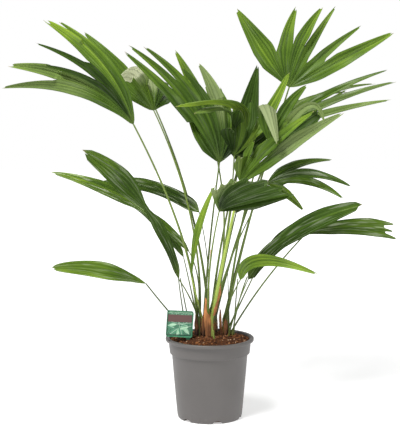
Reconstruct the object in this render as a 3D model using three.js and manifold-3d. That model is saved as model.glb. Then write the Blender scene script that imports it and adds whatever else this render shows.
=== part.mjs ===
// A young chinese fan palm (Livistona chinensis) in a plastic nursery pot.
//
// Millimetres, +Z up. The origin is the middle of the pot's flat underside, the front looks
// towards -Y and +X is to the right. Every frond is two solids, a bare stalk and a blade,
// and the blade is one folded sheet that is cut between its segments.

import * as THREE from 'three';
import { mergeVertices } from 'three/addons/utils/BufferGeometryUtils.js';
import Module from 'manifold-3d';

const wasm = await Module();
wasm.setup();

const { Vector3, Quaternion } = THREE;
const { degToRad, lerp, smoothstep } = THREE.MathUtils;
const UP = new Vector3(0, 0, 1);

// ---------------------------------------------------------------- driving sizes

const CLEARANCE = 0.3;

const POT = {
  height: 175,
  rimRadius: 95,
  rimDepth: 7.5,
  rimRound: 1,
  collarTopRadius: 88.5,
  collarFootRadius: 86,
  collarDepth: 34,
  bodyTopRadius: 82,
  bodyLowRadius: 70,
  baseRadius: 64.5,
  cornerRadius: 68.5,
  cornerHeight: 2,
  bodyFoot: 7,
  wall: 2.2,
  sides: 48,
  drainCount: 6,
  drainWidth: 20,
  drainHeight: 7,
  drainDepth: 11,
  drainTurn: 14,
};

const SOIL = {
  edgeHeight: 168,
  edgeGap: 1.8,
  shoulderRadius: 69,
  shoulderHeight: 172.5,
  moundRadius: 47,
  moundHeight: 179,
};

const LABEL = {
  x: -66,
  y: -40,
  width: 56,
  height: 54,
  foot: 185,
  thickness: 1.4,
  cornerRadius: 5,
  stakeWidth: 9,
  stakeDepth: 60,
  stakePoint: 12,
  stakeOffset: 20,
  lean: 4,
  turn: 6,
};

// The short sheathed stems that the stalks rise from. They stand sunk in the soil.
const STEM_TOP = 214;
const STEM_SINK = 40;
const STEM_SIDES = 14;
const STEMS = {
  stem_left: { x: -20, y: 10, footRadius: 13, topRadius: 11 },
  stem_front: { x: 1, y: -10, footRadius: 10, topRadius: 9 },
  stem_right: { x: 31, y: 8, footRadius: 11, topRadius: 9.5 },
  stem_back: { x: 5, y: 36, footRadius: 13, topRadius: 11.5 },
};
const STALK_INSET = 3;

const STALK = { footRadius: 2.7, tipRadius: 2, sides: 6, steps: 8 };

// ---------------------------------------------------------------- the fronds
//
// stem and at: the stem that carries the stalk and the bearing of its foot on the stem's top,
//   in degrees from +X towards +Y. A frond with soil: [x, y] rises from the soil instead.
// knee: where the stalk turns, the middle control point of its curve.
// heart: where the stalk ends and the segments start.
// axis, spread: the segments leave the heart evenly over this angle, to both sides of the
//   axis. A direction is [swing, toward]: swing is measured from upright to +X and toward
//   from the front plane to -Y, in degrees.
// face: the direction that the blade's upper side looks in.
// web: how far from the heart the segments stay joined. webShare gives it instead as a share
//   of each segment's own length.
// segments, from left to right: [swing, toward, reach, width, rise, roll]. The first three
//   lead from the heart to the tip. Rise is how far the segment runs on in the direction it
//   leaves the heart in before it turns to its tip, as a share of reach, 0.5 if not given.
//   Roll turns the segment about its own rib towards its tip, in degrees, 0 if not given.
// foot, opens, closes, taper, waist: how the segments' width runs from heart to tip, where it
//   differs from BLADE.

const FRONDS = [
  {
    stem: 'stem_left', at: 195, knee: [-30, -20, 381], heart: [-157, -80, 635],
    axis: [-26, 10], spread: 34, face: [20, 55], web: 198,
    segments: [
      [-72, 30, 302, 26],
      [-63, 22, 293, 38],
      [-54, 26, 235, 16],
      [-49, 15, 264, 18],
      [-40, 5, 281, 36],
      [-36, -5, 262, 28],
    ],
  },
  {
    stem: 'stem_left', at: 100, knee: [-12, 20, 431], heart: [-120, 45, 658],
    axis: [-8, 0], spread: 95, face: [20, 50], web: 90,
    segments: [
      [-47, -18, 248, 28],
      [-42, -8, 228, 28],
      [-55, 46, 140, 42, 0.95],
      [-17, -34, 115, 28],
      [25, -55, 110, 30],
      [47, -73, 120, 30],
    ],
  },
  {
    stem: 'stem_front', at: 90, knee: [58, 22, 400], heart: [7, 40, 594],
    axis: [-15, -5], spread: 60, face: [0, 60], web: 70,
    segments: [
      [-40, 15, 120, 24],
      [-23, -5, 211, 30],
      [-8, -25, 130, 26],
    ],
  },
  {
    stem: 'stem_left', at: 20, knee: [-4, -2, 370], heart: [20, -20, 551],
    axis: [-2, 0], spread: 72, face: [20, 50], web: 160,
    segments: [
      [-29, -14, 140, 30, 0.62],
      [-40, 10, 310, 24, 0.45],
      [-37.5, 4, 312, 22],
      [-33, -3, 292, 22],
      [-22, -10, 220, 26],
      [-12, -18, 224, 40],
      [0, -34, 187, 28],
      [24, -48, 150, 28],
    ],
  },
  {
    stem: 'stem_front', at: 170, knee: [43, -32, 380], heart: [49, -70, 571],
    axis: [28, 4], spread: 95, face: [-10, 45], web: 60,
    segments: [
      [-8, 46, 88, 38, 0.7],
      [6, 42, 132, 42, 0.6],
      [-42, 38.0, 158, 44.0, 0.85, -20.0],
      [-48, 33, 190, 46, 0.86, 30],
      [18, -20, 125, 32],
      [35, -24, 227, 28, 0.3],
      [58, -22, 102, 30, 0.2],
    ],
  },
  {
    stem: 'stem_back', at: 310, knee: [35, 64, 380], heart: [64, 80, 542],
    axis: [10, -12], spread: 60, face: [0, 60], web: 70,
    segments: [
      [-14, -20, 180, 30],
      [11, -10, 221, 48],
      [34, -24, 170, 30],
    ],
  },
  {
    stem: 'stem_right', at: 80, knee: [85, 40, 440], heart: [171, 70, 707],
    axis: [14, -2], spread: 96, face: [0, 65], web: 95,
    segments: [
      [-34, -5, 204, 46],
      [5, 0, 174, 33],
      [22, 3, 186, 32],
      [30, -5, 202, 20],
      [50, -10, 210, 20],
      [62, 2, 252, 34],
    ],
  },
  {
    stem: 'stem_front', at: 293, knee: [29, -60, 360], heart: [61, -110, 518],
    axis: [20, 10], spread: 56, face: [-20, 50], web: 70,
    segments: [
      [-2, 23, 62, 26],
      [18, 5, 92, 28],
      [36, 0, 118, 28],
      [44, 20, 222, 24],
      [54, 16, 261, 34],
    ],
  },
  {
    stem: 'stem_right', at: 15, knee: [60, 28, 430], heart: [120, 28, 608],
    axis: [50, 0], spread: 40, face: [-20, 45], web: 85,
    segments: [
      [64, -24, 220, 18],
      [66, -14, 271, 18],
      [62, -2, 294, 20],
      [67, 9, 296, 20],
      [73, 18, 280, 18],
    ],
  },
  {
    stem: 'stem_right', at: 315, knee: [76, -52, 425], heart: [125, -80, 590],
    axis: [22, 8], spread: 62, face: [0, 58], web: 60,
    segments: [
      [30, 81.5, 107, 38, 1.55],
      [32, -25, 162, 26],
      [64, 14, 122, 20, 1.42],
      [55, 2, 116, 54, 1.2],
    ],
  },
  {
    stem: 'stem_left', at: 240, knee: [-40, -15, 265], heart: [-65, -50, 307],
    axis: [-13, 12], spread: 0, face: [40, 45], web: 80,
    opens: [0.35, 0.75], closes: 0.72, taper: 0.5, waist: [0.48, 0.72],
    segments: [
      [-34, 21, 366, 50],
    ],
  },
  {
    stem: 'stem_left', at: 148, knee: [-14, 4, 300], heart: [-42, -10, 359],
    axis: [-40, -3], spread: 0, face: [30, 40], web: 70,
    opens: [0.45, 0.55], closes: 0.66, waist: [0.38, 0.6],
    segments: [
      [-60.5, -5, 346, 39],
    ],
  },
  {
    soil: [-38, -4], knee: [-75, -20, 215], heart: [-133, -50, 299],
    axis: [-66, 15], spread: 0, face: [10, 40], web: 80, opens: [0.25, 0.45], taper: 0.5,
    segments: [
      [-76.5, 22, 212, 45],
    ],
  },
  {
    stem: 'stem_back', at: 200, knee: [4, 38, 330], heart: [-21, 40, 439],
    axis: [-53, -12], spread: 0, face: [10, 40], web: 60, foot: 0.8, opens: [0.6, 0.15], closes: 0.6,
    segments: [
      [-76, -19, 247, 38],
    ],
  },
  {
    stem: 'stem_left', at: 300, knee: [-28, -5, 260], heart: [-39, -20, 307],
    axis: [3, 4], spread: 0, face: [-60, 30], web: 70, opens: [0.25, 0.5],
    segments: [
      [14, 6, 208, 27],
    ],
  },
  {
    stem: 'stem_front', at: 231, knee: [-9, -66, 330], heart: [18, -130, 461],
    axis: [-1, 36], spread: 76, face: [-10, 40], webShare: 0.92, foot: 0.16,
    segments: [
      [-8, 50, 77, 34, 0.6],
      [8, 49, 96, 36],
      [22, 46, 112, 40],
      [38, 42, 128, 44],
      [54, 36, 148, 44, 0.45],
      [66, 28, 158, 36, 0.3],
      [74.5, 20, 166, 25, 0.15],
    ],
  },
  {
    stem: 'stem_front', at: 355, knee: [27, -32, 340], heart: [117, -50, 510],
    axis: [65, 6], spread: 54, face: [0, 40], web: 70,
    segments: [
      [71, -11, 151, 26],
      [90, 16, 179, 25],
      [97, 36, 187, 20],
      [124, 22, 98, 20, 0.3],
    ],
  },
  {
    soil: [40, -14], knee: [55, -34, 250], heart: [79, -70, 311],
    axis: [29, 16], spread: 0, face: [-40, 40], web: 90,
    foot: 0.85, opens: [0.72, 0.6], closes: 0.72, taper: 0.45, waist: [0.38, 0.2],
    segments: [
      [53, 21, 302, 47, 0.45],
    ],
  },
  {
    stem: 'stem_right', at: 250, knee: [42, -32, 265], heart: [63, -65, 308],
    axis: [3, 28], spread: 0, face: [-10, 35], web: 60, foot: 0.6, opens: [0.8, 0.2], closes: 0.4,
    segments: [
      [77.5, 38, 198, 27, 0.5],
    ],
  },
  {
    soil: [44, 12], knee: [112, 28, 296], heart: [206, 40, 393],
    axis: [76, -10], spread: 12, face: [-5, 45], web: 185, closes: 0.72,
    segments: [
      [86.5, -17, 212, 22],
      [90.6, -15, 206, 16],
      [95, -12, 212, 24],
    ],
  },
  {
    stem: 'stem_back', at: 148, knee: [-20, 90, 440], heart: [-120, 190, 655],
    axis: [-45, -45], spread: 70, face: [0, 10], web: 80,
    segments: [
      [-54, -30, 201, 28],
      [-63, -49, 199, 28],
      [-58, -65, 199, 28],
      [-40, -80, 191, 28],
    ],
  },
  {
    stem: 'stem_back', at: 98, knee: [24, 92, 400], heart: [75, 170, 565],
    axis: [0, -40], spread: 70, face: [0, 30], web: 80,
    segments: [
      [-33, -48, 175, 28],
      [-8, -51, 160, 28],
      [9, -45, 165, 28],
      [32, -58, 212, 28],
    ],
  },
  {
    stem: 'stem_back', at: 3, knee: [62, 78, 420], heart: [163, 150, 629],
    axis: [55, -40], spread: 70, face: [0, 10], web: 80,
    segments: [
      [51, -71, 201, 28],
      [72, -57, 192, 28],
      [63, -33, 160, 26],
      [64, -14, 166, 24],
    ],
  },
  {
    soil: [-22, 38], knee: [-38, 52, 260], heart: [-56, 70, 336],
    axis: [-35, -40], spread: 0, face: [0, 10], web: 80,
    segments: [[-56, -55, 281, 34]],
  },
  {
    soil: [36, 25], knee: [76, 46, 260], heart: [115, 80, 334],
    axis: [45, -30], spread: 0, face: [0, 10], web: 80,
    segments: [[66, -44, 261, 34]],
  },
  {
    stem: 'stem_back', at: 50, knee: [34, 68, 340], heart: [59, 130, 427],
    axis: [20, -60], spread: 50, face: [0, 10], web: 80,
    segments: [
      [-38, -84, 211, 26],
      [46, -77, 246, 26],
      [69, -65, 220, 26],
    ],
  },
];

// What every blade has in common. The shares are of a segment's length or width, and
// splitSpacing and sideRoom are against the room between two ribs.
const BLADE = {
  thicknessShare: 0.011,
  leastThickness: 2.4,
  heartGap: 1.6,
  seatRoom: 6,
  keelShare: 0.22,
  foot: 0.36,
  opens: [0.3, 0.3],
  closes: 0.5,
  taper: 0.6,
  waist: [0.5, 0],
  waistSpan: 0.1,
  rollFrom: 0.2,
  rollBy: 0.7,
  shortestShare: 0.92,
  splitSpacing: 1.15,
  sideRoom: 0.44,
  webStations: 3,
  freeStations: 3,
};

// ---------------------------------------------------------------- materials

const finish = (color, roughness) => () =>
  new THREE.MeshStandardMaterial({ color, roughness, metalness: 0 });
const greyPlastic = finish('#76746f', 0.45);
const pottingSoil = finish('#3a2a20', 0.95);
const printedCard = finish('#5d7a3c', 0.4);
const sheathFibre = finish('#8a6238', 0.85);
const stalkGreen = finish('#6f7f45', 0.5);
const leafGreen = finish('#4f7a33', 0.42);

// ---------------------------------------------------------------- solids

/** A closed three.js mesh geometry as a manifold solid. */
function toSolid(geometry) {
  const bare = geometry.clone();
  bare.deleteAttribute('normal');
  bare.deleteAttribute('uv');
  const merged = mergeVertices(bare, 1e-4);
  return new wasm.Manifold(new wasm.Mesh({
    numProp: 3,
    vertProperties: new Float32Array(merged.attributes.position.array),
    triVerts: new Uint32Array(merged.index.array),
  }));
}

function toGeometry(solid) {
  const mesh = solid.getMesh();
  const positions = [];
  for (let i = 0; i < mesh.vertProperties.length; i += mesh.numProp) {
    positions.push(...mesh.vertProperties.subarray(i, i + 3));
  }
  return indexedGeometry(positions, [...mesh.triVerts]);
}

function indexedGeometry(positions, index) {
  const geometry = new THREE.BufferGeometry();
  geometry.setAttribute('position', new THREE.Float32BufferAttribute(positions, 3));
  geometry.setIndex(index);
  geometry.computeVertexNormals();
  return geometry;
}

/** Turns a [radius, height] profile about +Z. */
function lathe(profile, sides) {
  const points = profile.map(([radius, height]) => new THREE.Vector2(radius, height));
  return new THREE.LatheGeometry(points, sides).rotateX(Math.PI / 2);
}

// ---------------------------------------------------------------- pot and soil

function buildPot() {
  const step = POT.height - POT.collarDepth;
  const lip = POT.height - POT.rimDepth;
  const { wall, rimRound } = POT;
  const profile = [
    [0, 0],
    [POT.baseRadius, 0],
    [POT.cornerRadius, POT.cornerHeight],
    [POT.bodyLowRadius, POT.bodyFoot],
    [POT.bodyTopRadius, step],
    [POT.collarFootRadius, step + rimRound],
    [POT.collarTopRadius, lip],
    [POT.rimRadius - rimRound, lip],
    [POT.rimRadius, lip + rimRound],
    [POT.rimRadius, POT.height - rimRound],
    [POT.rimRadius - rimRound, POT.height],
    [POT.collarTopRadius - wall, POT.height],
    [POT.collarTopRadius - wall, lip],
    [POT.bodyTopRadius - wall, step],
    [POT.bodyLowRadius - wall, POT.bodyFoot],
    [POT.baseRadius - wall, wall],
    [0, wall],
  ];
  let pot = toSolid(lathe(profile, POT.sides));
  for (let i = 0; i < POT.drainCount; i += 1) {
    const bearing = degToRad(POT.drainTurn + (360 / POT.drainCount) * i);
    pot = pot.subtract(toSolid(drainCutter(bearing)));
  }
  return toGeometry(pot);
}

/** A half-round bar that lies across the foot of the wall. */
function drainCutter(bearing) {
  const round = new THREE.Shape();
  round.absellipse(0, 0, POT.drainWidth / 2, POT.drainHeight, 0, Math.PI * 2, false);
  const bar = new THREE.ExtrudeGeometry(round, {
    depth: POT.drainDepth * 2, bevelEnabled: false, curveSegments: 6,
  });
  bar.rotateX(Math.PI / 2);
  bar.translate(0, POT.bodyLowRadius + POT.drainDepth, 0);
  return bar.rotateZ(bearing);
}

function buildSoil(pockets) {
  const gap = POT.wall + CLEARANCE;
  const step = POT.height - POT.collarDepth;
  const profile = [
    [0, gap],
    [POT.baseRadius - gap, gap],
    [POT.bodyLowRadius - gap, POT.bodyFoot],
    [POT.bodyTopRadius - gap, step],
    [POT.collarTopRadius - POT.wall - SOIL.edgeGap, SOIL.edgeHeight],
    [SOIL.shoulderRadius, SOIL.shoulderHeight],
    [SOIL.moundRadius, SOIL.moundHeight],
    [0, SOIL.moundHeight],
  ];
  let soil = toSolid(lathe(profile, POT.sides));
  for (const pocket of pockets) {
    soil = soil.subtract(toSolid(pocket));
  }
  return toGeometry(soil);
}

// ---------------------------------------------------------------- label

/** The printed card and the stake under it as one outline, grown all round by room. */
function labelGeometry(room) {
  const half = LABEL.width / 2 + room;
  const low = -room;
  const high = LABEL.height + room;
  const corner = LABEL.cornerRadius;
  const stakeFoot = LABEL.stakePoint - LABEL.stakeDepth;
  const stakeLeft = LABEL.stakeOffset - LABEL.stakeWidth / 2 - room;
  const stakeRight = LABEL.stakeOffset + LABEL.stakeWidth / 2 + room;
  const outline = new THREE.Shape();
  outline.moveTo(-half + corner, low);
  outline.lineTo(stakeLeft, low);
  outline.lineTo(stakeLeft, stakeFoot);
  outline.lineTo(LABEL.stakeOffset, -LABEL.stakeDepth - room);
  outline.lineTo(stakeRight, stakeFoot);
  outline.lineTo(stakeRight, low);
  outline.lineTo(half, low);
  outline.lineTo(half, high - corner);
  outline.absarc(half - corner, high - corner, corner, 0, Math.PI / 2, false);
  outline.absarc(-half + corner, high - corner, corner, Math.PI / 2, Math.PI, false);
  outline.absarc(-half + corner, low + corner, corner, Math.PI, Math.PI * 1.5, false);
  const card = new THREE.ExtrudeGeometry(outline, {
    depth: LABEL.thickness + room * 2, bevelEnabled: false, curveSegments: 3,
  });
  card.translate(0, 0, -LABEL.thickness / 2 - room);
  card.rotateX(Math.PI / 2);
  card.rotateY(degToRad(LABEL.lean));
  card.rotateZ(degToRad(LABEL.turn));
  return card.translate(LABEL.x, LABEL.y, LABEL.foot);
}

// ---------------------------------------------------------------- stems and stalks

function stemGeometry({ x, y, footRadius, topRadius }, room) {
  const foot = SOIL.moundHeight - STEM_SINK - room;
  const profile = [
    [0, foot],
    [topRadius + room, foot],
    [footRadius + room, SOIL.moundHeight],
    [topRadius + room, STEM_TOP],
    [0, STEM_TOP],
  ];
  return lathe(profile, STEM_SIDES).translate(x, y, 0);
}

function stalkFoot(frond) {
  if (frond.soil) {
    return new Vector3(...frond.soil, SOIL.moundHeight + CLEARANCE);
  }
  const stem = STEMS[frond.stem];
  const bearing = degToRad(frond.at);
  const ring = stem.topRadius - STALK_INSET;
  return new Vector3(
    stem.x + ring * Math.cos(bearing),
    stem.y + ring * Math.sin(bearing),
    STEM_TOP + CLEARANCE,
  );
}

/** A round bar along a curve that tapers from foot to tip, with a level foot. */
function limb(curve, footRadius, tipRadius) {
  const { sides, steps } = STALK;
  const positions = [];
  const index = [];
  const side = new Vector3(1, 0, 0);
  for (let i = 0; i <= steps; i += 1) {
    const share = i / steps;
    const centre = curve.getPoint(share);
    const tangent = i === 0 ? UP : curve.getTangent(share);
    side.addScaledVector(tangent, -side.dot(tangent)).normalize();
    const out = new Vector3().crossVectors(tangent, side);
    const radius = lerp(footRadius, tipRadius, share);
    for (let k = 0; k < sides; k += 1) {
      const angle = (k / sides) * Math.PI * 2;
      const point = centre.clone()
        .addScaledVector(side, radius * Math.cos(angle))
        .addScaledVector(out, radius * Math.sin(angle));
      positions.push(point.x, point.y, point.z);
    }
  }
  for (let i = 0; i < steps; i += 1) {
    for (let k = 0; k < sides; k += 1) {
      const a = i * sides + k;
      const b = i * sides + ((k + 1) % sides);
      index.push(a, b, b + sides, a, b + sides, a + sides);
    }
  }
  const last = steps * sides;
  for (let k = 1; k < sides - 1; k += 1) {
    index.push(0, k + 1, k);
    index.push(last, last + k, last + k + 1);
  }
  return indexedGeometry(positions, index);
}

// ---------------------------------------------------------------- blades

/** The unit vector that swings from upright to +X and leans toward the front. */
function aim(swing, toward) {
  const s = degToRad(swing);
  const t = degToRad(toward);
  return new Vector3(Math.sin(s) * Math.cos(t), -Math.sin(t), Math.cos(s) * Math.cos(t));
}

/** How wide a segment is at a share of its length, against its full width. */
function strapWidth(share, frond) {
  const { opens, closes, taper, waist } = { ...BLADE, ...frond };
  const [footWidth, widestFrom] = opens;
  const [waistAt, waistDepth] = waist;
  const opening = lerp(footWidth, 1, smoothstep(share, 0, widestFrom));
  const closing = share < closes ? 1 : ((1 - share) / (1 - closes)) ** taper;
  const fromWaist = (share - waistAt) / BLADE.waistSpan;
  return opening * closing * (1 - waistDepth * Math.exp(-fromWaist * fromWaist));
}

/** One segment: its rib is a curve, and its frame turns with the rib as it bends. */
class Segment {
  constructor(heart, face, launch, [swing, toward, reach, width, rise = 0.5, roll = 0]) {
    this.width = width;
    this.roll = degToRad(roll);
    this.launch = launch;
    this.launchNormal = face.clone().addScaledVector(launch, -face.dot(launch)).normalize();
    const turn = heart.clone().addScaledVector(launch, reach * rise);
    const tip = heart.clone().addScaledVector(aim(swing, toward), reach);
    this.rib = new THREE.QuadraticBezierCurve3(heart, turn, tip);
    this.length = this.rib.getLength();
  }

  /** The rib's point, the way across the segment and the way its upper side looks. */
  frame(distance) {
    const share = distance / this.length;
    const tangent = this.rib.getTangentAt(share);
    const turn = new Quaternion().setFromUnitVectors(this.launch, tangent);
    const rolled = this.roll * smoothstep(share, BLADE.rollFrom, BLADE.rollBy);
    const normal = this.launchNormal.clone().applyQuaternion(turn);
    normal.applyAxisAngle(tangent, rolled);
    const across = new Vector3().crossVectors(tangent, normal);
    return { point: this.rib.getPointAt(share), across, normal };
  }
}

/** A sheet of triangles that is thickened into one closed solid. */
class Sheet {
  constructor() {
    this.points = [];
    this.triangles = [];
  }

  add(point) {
    return this.points.push(point) - 1;
  }

  strip(left, right) {
    const [a, b] = left;
    const [c, d] = right;
    this.triangles.push([a, c, d], [a, d, b]);
  }

  thicken(thickness) {
    const normals = this.points.map(() => new Vector3());
    const edges = new Set();
    for (const [a, b, c] of this.triangles) {
      const ab = this.points[b].clone().sub(this.points[a]);
      const ac = this.points[c].clone().sub(this.points[a]);
      const area = ab.cross(ac);
      for (const corner of [a, b, c]) {
        normals[corner].add(area);
      }
      for (const [from, to] of [[a, b], [b, c], [c, a]]) {
        edges.add(`${from},${to}`);
      }
    }
    const positions = [];
    for (const side of [0.5, -0.5]) {
      this.points.forEach((point, i) => {
        const moved = point.clone().addScaledVector(normals[i].normalize(), thickness * side);
        positions.push(moved.x, moved.y, moved.z);
      });
    }
    const count = this.points.length;
    const index = [];
    for (const [a, b, c] of this.triangles) {
      index.push(a, b, c, count + a, count + c, count + b);
    }
    for (const edge of edges) {
      const [from, to] = edge.split(',').map(Number);
      if (!edges.has(`${to},${from}`)) {
        index.push(to, from, count + from, to, count + from, count + to);
      }
    }
    return indexedGeometry(positions, index);
  }
}

/** The distances along its rib at which a segment has a row of points. */
function stations(segment, web) {
  const { webStations, freeStations } = BLADE;
  const rows = [];
  for (let i = 1; i <= webStations; i += 1) {
    rows.push(web * i / webStations);
  }
  for (let i = 1; i <= freeStations; i += 1) {
    rows.push(lerp(web, segment.length, i / freeStations));
  }
  return rows;
}

function segmentsOf(frond) {
  const heart = new Vector3(...frond.heart);
  const axis = aim(...frond.axis);
  const face = aim(...frond.face);
  face.addScaledVector(axis, -face.dot(axis)).normalize();
  const last = frond.segments.length - 1;
  return frond.segments.map((row, k) => {
    const fan = last > 0 ? k / last - 0.5 : 0;
    const launch = axis.clone().applyAxisAngle(face, -degToRad(frond.spread) * fan);
    return new Segment(heart, face, launch, row);
  });
}

function heartPoint(frond) {
  return new Vector3(...frond.heart).addScaledVector(aim(...frond.axis), BLADE.heartGap);
}

function buildBlade(frond) {
  const segments = segmentsOf(frond);
  const shortest = Math.min(...segments.map(({ length }) => length));
  const web = Math.min(frond.web ?? Infinity, shortest * BLADE.shortestShare);
  const rows = segments.map((segment) => stations(
    segment,
    frond.webShare ? segment.length * frond.webShare : web,
  ));
  const frames = segments.map((segment, k) => rows[k].map((distance) => segment.frame(distance)));
  const lastRow = rows[0].length - 1;

  const spacing = (k, row) => {
    if (k < 0 || k + 1 >= segments.length) {
      return Infinity;
    }
    return frames[k][row].point.distanceTo(frames[k + 1][row].point);
  };
  // A pair of neighbours stays joined until their ribs stand a full segment apart.
  const joinedRow = (k) => {
    if (k < 0 || k + 1 >= segments.length) {
      return -1;
    }
    const limit = BLADE.splitSpacing * (segments[k].width + segments[k + 1].width) / 2;
    let row = 0;
    while (row + 1 < BLADE.webStations && spacing(k, row + 1) <= limit) {
      row += 1;
    }
    return row;
  };

  // Half the width of a segment at a row, to its left or right: no wider than the room that
  // its neighbour leaves, and narrow towards the heart.
  const halfWidth = (k, row, way) => {
    const distance = rows[k][row];
    const neighbour = spacing(way < 0 ? k - 1 : k, row);
    const full = segments[k].width / 2 * strapWidth(distance / segments[k].length, frond);
    const foot = distance * (frond.foot ?? BLADE.foot);
    return Math.min(full, neighbour * BLADE.sideRoom, foot);
  };

  const sheet = new Sheet();
  const seam = (k, row) => {
    const a = frames[k][row];
    const b = frames[k + 1][row];
    const middle = a.point.clone().add(b.point).multiplyScalar(0.5);
    const outward = a.normal.clone().add(b.normal).normalize();
    return middle.addScaledVector(outward, halfWidth(k, row, 1) * BLADE.keelShare);
  };
  const rib = (k, row) => {
    const { point, normal } = frames[k][row];
    const half = (halfWidth(k, row, -1) + halfWidth(k, row, 1)) / 2;
    return point.clone().addScaledVector(normal, -half * BLADE.keelShare);
  };
  const edge = (k, row, way) => {
    const { point, across, normal } = frames[k][row];
    const half = halfWidth(k, row, way);
    return point.clone()
      .addScaledVector(across, half * way)
      .addScaledVector(normal, half * BLADE.keelShare);
  };

  const apex = sheet.add(heartPoint(frond));
  let leftSeam = [];
  for (let k = 0; k < segments.length; k += 1) {
    const middle = [];
    const left = [];
    const right = [];
    const rightSeam = [];
    for (let row = 0; row < lastRow; row += 1) {
      middle.push(sheet.add(rib(k, row)));
      left.push(row < leftSeam.length ? leftSeam[row] : sheet.add(edge(k, row, -1)));
      if (row <= joinedRow(k)) {
        rightSeam.push(sheet.add(seam(k, row)));
        right.push(rightSeam[row]);
      } else {
        right.push(sheet.add(edge(k, row, 1)));
      }
    }
    sheet.triangles.push([apex, middle[0], left[0]], [apex, right[0], middle[0]]);
    for (let row = 0; row + 1 < lastRow; row += 1) {
      sheet.strip([left[row], left[row + 1]], [middle[row], middle[row + 1]]);
      sheet.strip([middle[row], middle[row + 1]], [right[row], right[row + 1]]);
    }
    const end = lastRow - 1;
    const tip = sheet.add(frames[k][lastRow].point);
    sheet.triangles.push([left[end], middle[end], tip], [middle[end], right[end], tip]);
    leftSeam = rightSeam;
  }
  const longest = Math.max(...segments.map(({ length }) => length));
  return sheet.thicken(Math.max(BLADE.leastThickness, longest * BLADE.thicknessShare));
}

/** The stalk stops just short of the rearmost part of the blade that stands over its end. */
function buildStalk(frond, blade) {
  const foot = stalkFoot(frond);
  const knee = new Vector3(...frond.knee);
  const heart = new Vector3(...frond.heart);
  const tangent = heart.clone().sub(knee).normalize();
  const position = blade.attributes.position;
  const corner = new Vector3();
  let seat = Infinity;
  for (let i = 0; i < position.count; i += 1) {
    corner.fromBufferAttribute(position, i).sub(heart);
    if (corner.length() < BLADE.seatRoom) {
      seat = Math.min(seat, corner.dot(tangent));
    }
  }
  const end = heart.addScaledVector(tangent, seat - CLEARANCE);
  return limb(new THREE.QuadraticBezierCurve3(foot, knee, end), STALK.footRadius, STALK.tipRadius);
}

// ---------------------------------------------------------------- the plant

function addMesh(parent, name, geometry, material) {
  const mesh = new THREE.Mesh(geometry, material);
  mesh.name = name;
  parent.add(mesh);
}

const palm = new THREE.Group();

const pockets = Object.values(STEMS).map((stem) => stemGeometry(stem, CLEARANCE));
pockets.push(labelGeometry(CLEARANCE));
addMesh(palm, 'pot', buildPot(), greyPlastic());
addMesh(palm, 'soil', buildSoil(pockets), pottingSoil());
addMesh(palm, 'plant_label', labelGeometry(0), printedCard());
for (const [name, stem] of Object.entries(STEMS)) {
  addMesh(palm, name, stemGeometry(stem, 0), sheathFibre());
}
FRONDS.forEach((frond, i) => {
  const name = `frond_${String(i + 1).padStart(2, '0')}`;
  const blade = buildBlade(frond);
  addMesh(palm, `${name}_stalk`, buildStalk(frond, blade), stalkGreen());
  addMesh(palm, `${name}_blade`, blade, leafGreen());
});

export default palm;
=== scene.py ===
"""A young chinese fan palm in a grey nursery pot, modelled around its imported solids."""

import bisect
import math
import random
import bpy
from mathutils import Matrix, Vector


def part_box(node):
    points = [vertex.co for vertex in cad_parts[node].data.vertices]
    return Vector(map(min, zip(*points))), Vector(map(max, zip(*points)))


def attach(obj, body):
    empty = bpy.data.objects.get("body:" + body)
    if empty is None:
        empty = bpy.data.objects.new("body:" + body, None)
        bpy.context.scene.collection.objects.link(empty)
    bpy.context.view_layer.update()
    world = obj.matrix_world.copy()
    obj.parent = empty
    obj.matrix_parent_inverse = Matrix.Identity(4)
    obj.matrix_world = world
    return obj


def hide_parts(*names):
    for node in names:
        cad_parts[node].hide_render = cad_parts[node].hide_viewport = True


bl_info = {
    "name": "Potted Fan Palm",
    "version": (1, 0, 0),
    "blender": (4, 5, 0),
    "location": "View3D > Sidebar > Fan Palm",
    "description": "Models a young chinese fan palm, its pot, soil and label",
    "category": "Add Mesh",
}

import bpy
from bpy.props import FloatProperty, FloatVectorProperty, IntProperty, PointerProperty
from mathutils import Matrix, Vector, noise

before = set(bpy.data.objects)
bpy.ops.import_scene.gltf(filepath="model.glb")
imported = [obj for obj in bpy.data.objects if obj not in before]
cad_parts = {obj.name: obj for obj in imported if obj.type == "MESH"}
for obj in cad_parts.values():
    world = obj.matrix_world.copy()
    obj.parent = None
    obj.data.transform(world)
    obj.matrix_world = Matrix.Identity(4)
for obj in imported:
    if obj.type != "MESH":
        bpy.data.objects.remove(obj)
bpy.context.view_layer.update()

MM = 0.001
UP = Vector((0, 0, 1))
POT_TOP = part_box("pot")[1]

# ---------------------------------------------------------------- the palm, in millimetres
#
# A direction is (swing, toward): swing from upright to +X, toward from the front plane to -Y.
# Other angles are in degrees, and tones run from 0, the darkest, to 1. A stalk starts a little
# inside its stem and above it, and UV_UNIT is what one unit of a map stands for.

STEM_TOP = 214
SOIL_TOP = 179
STALK_INSET = 3
STALK_LIFT = 0.3
UV_UNIT = 100

# Each stem: its axis, its radius at the soil and at its top, how orange its fibre is, how many
# short strips hug its foot, and its long torn strips as foot, end, width, bearing and tone.

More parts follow.
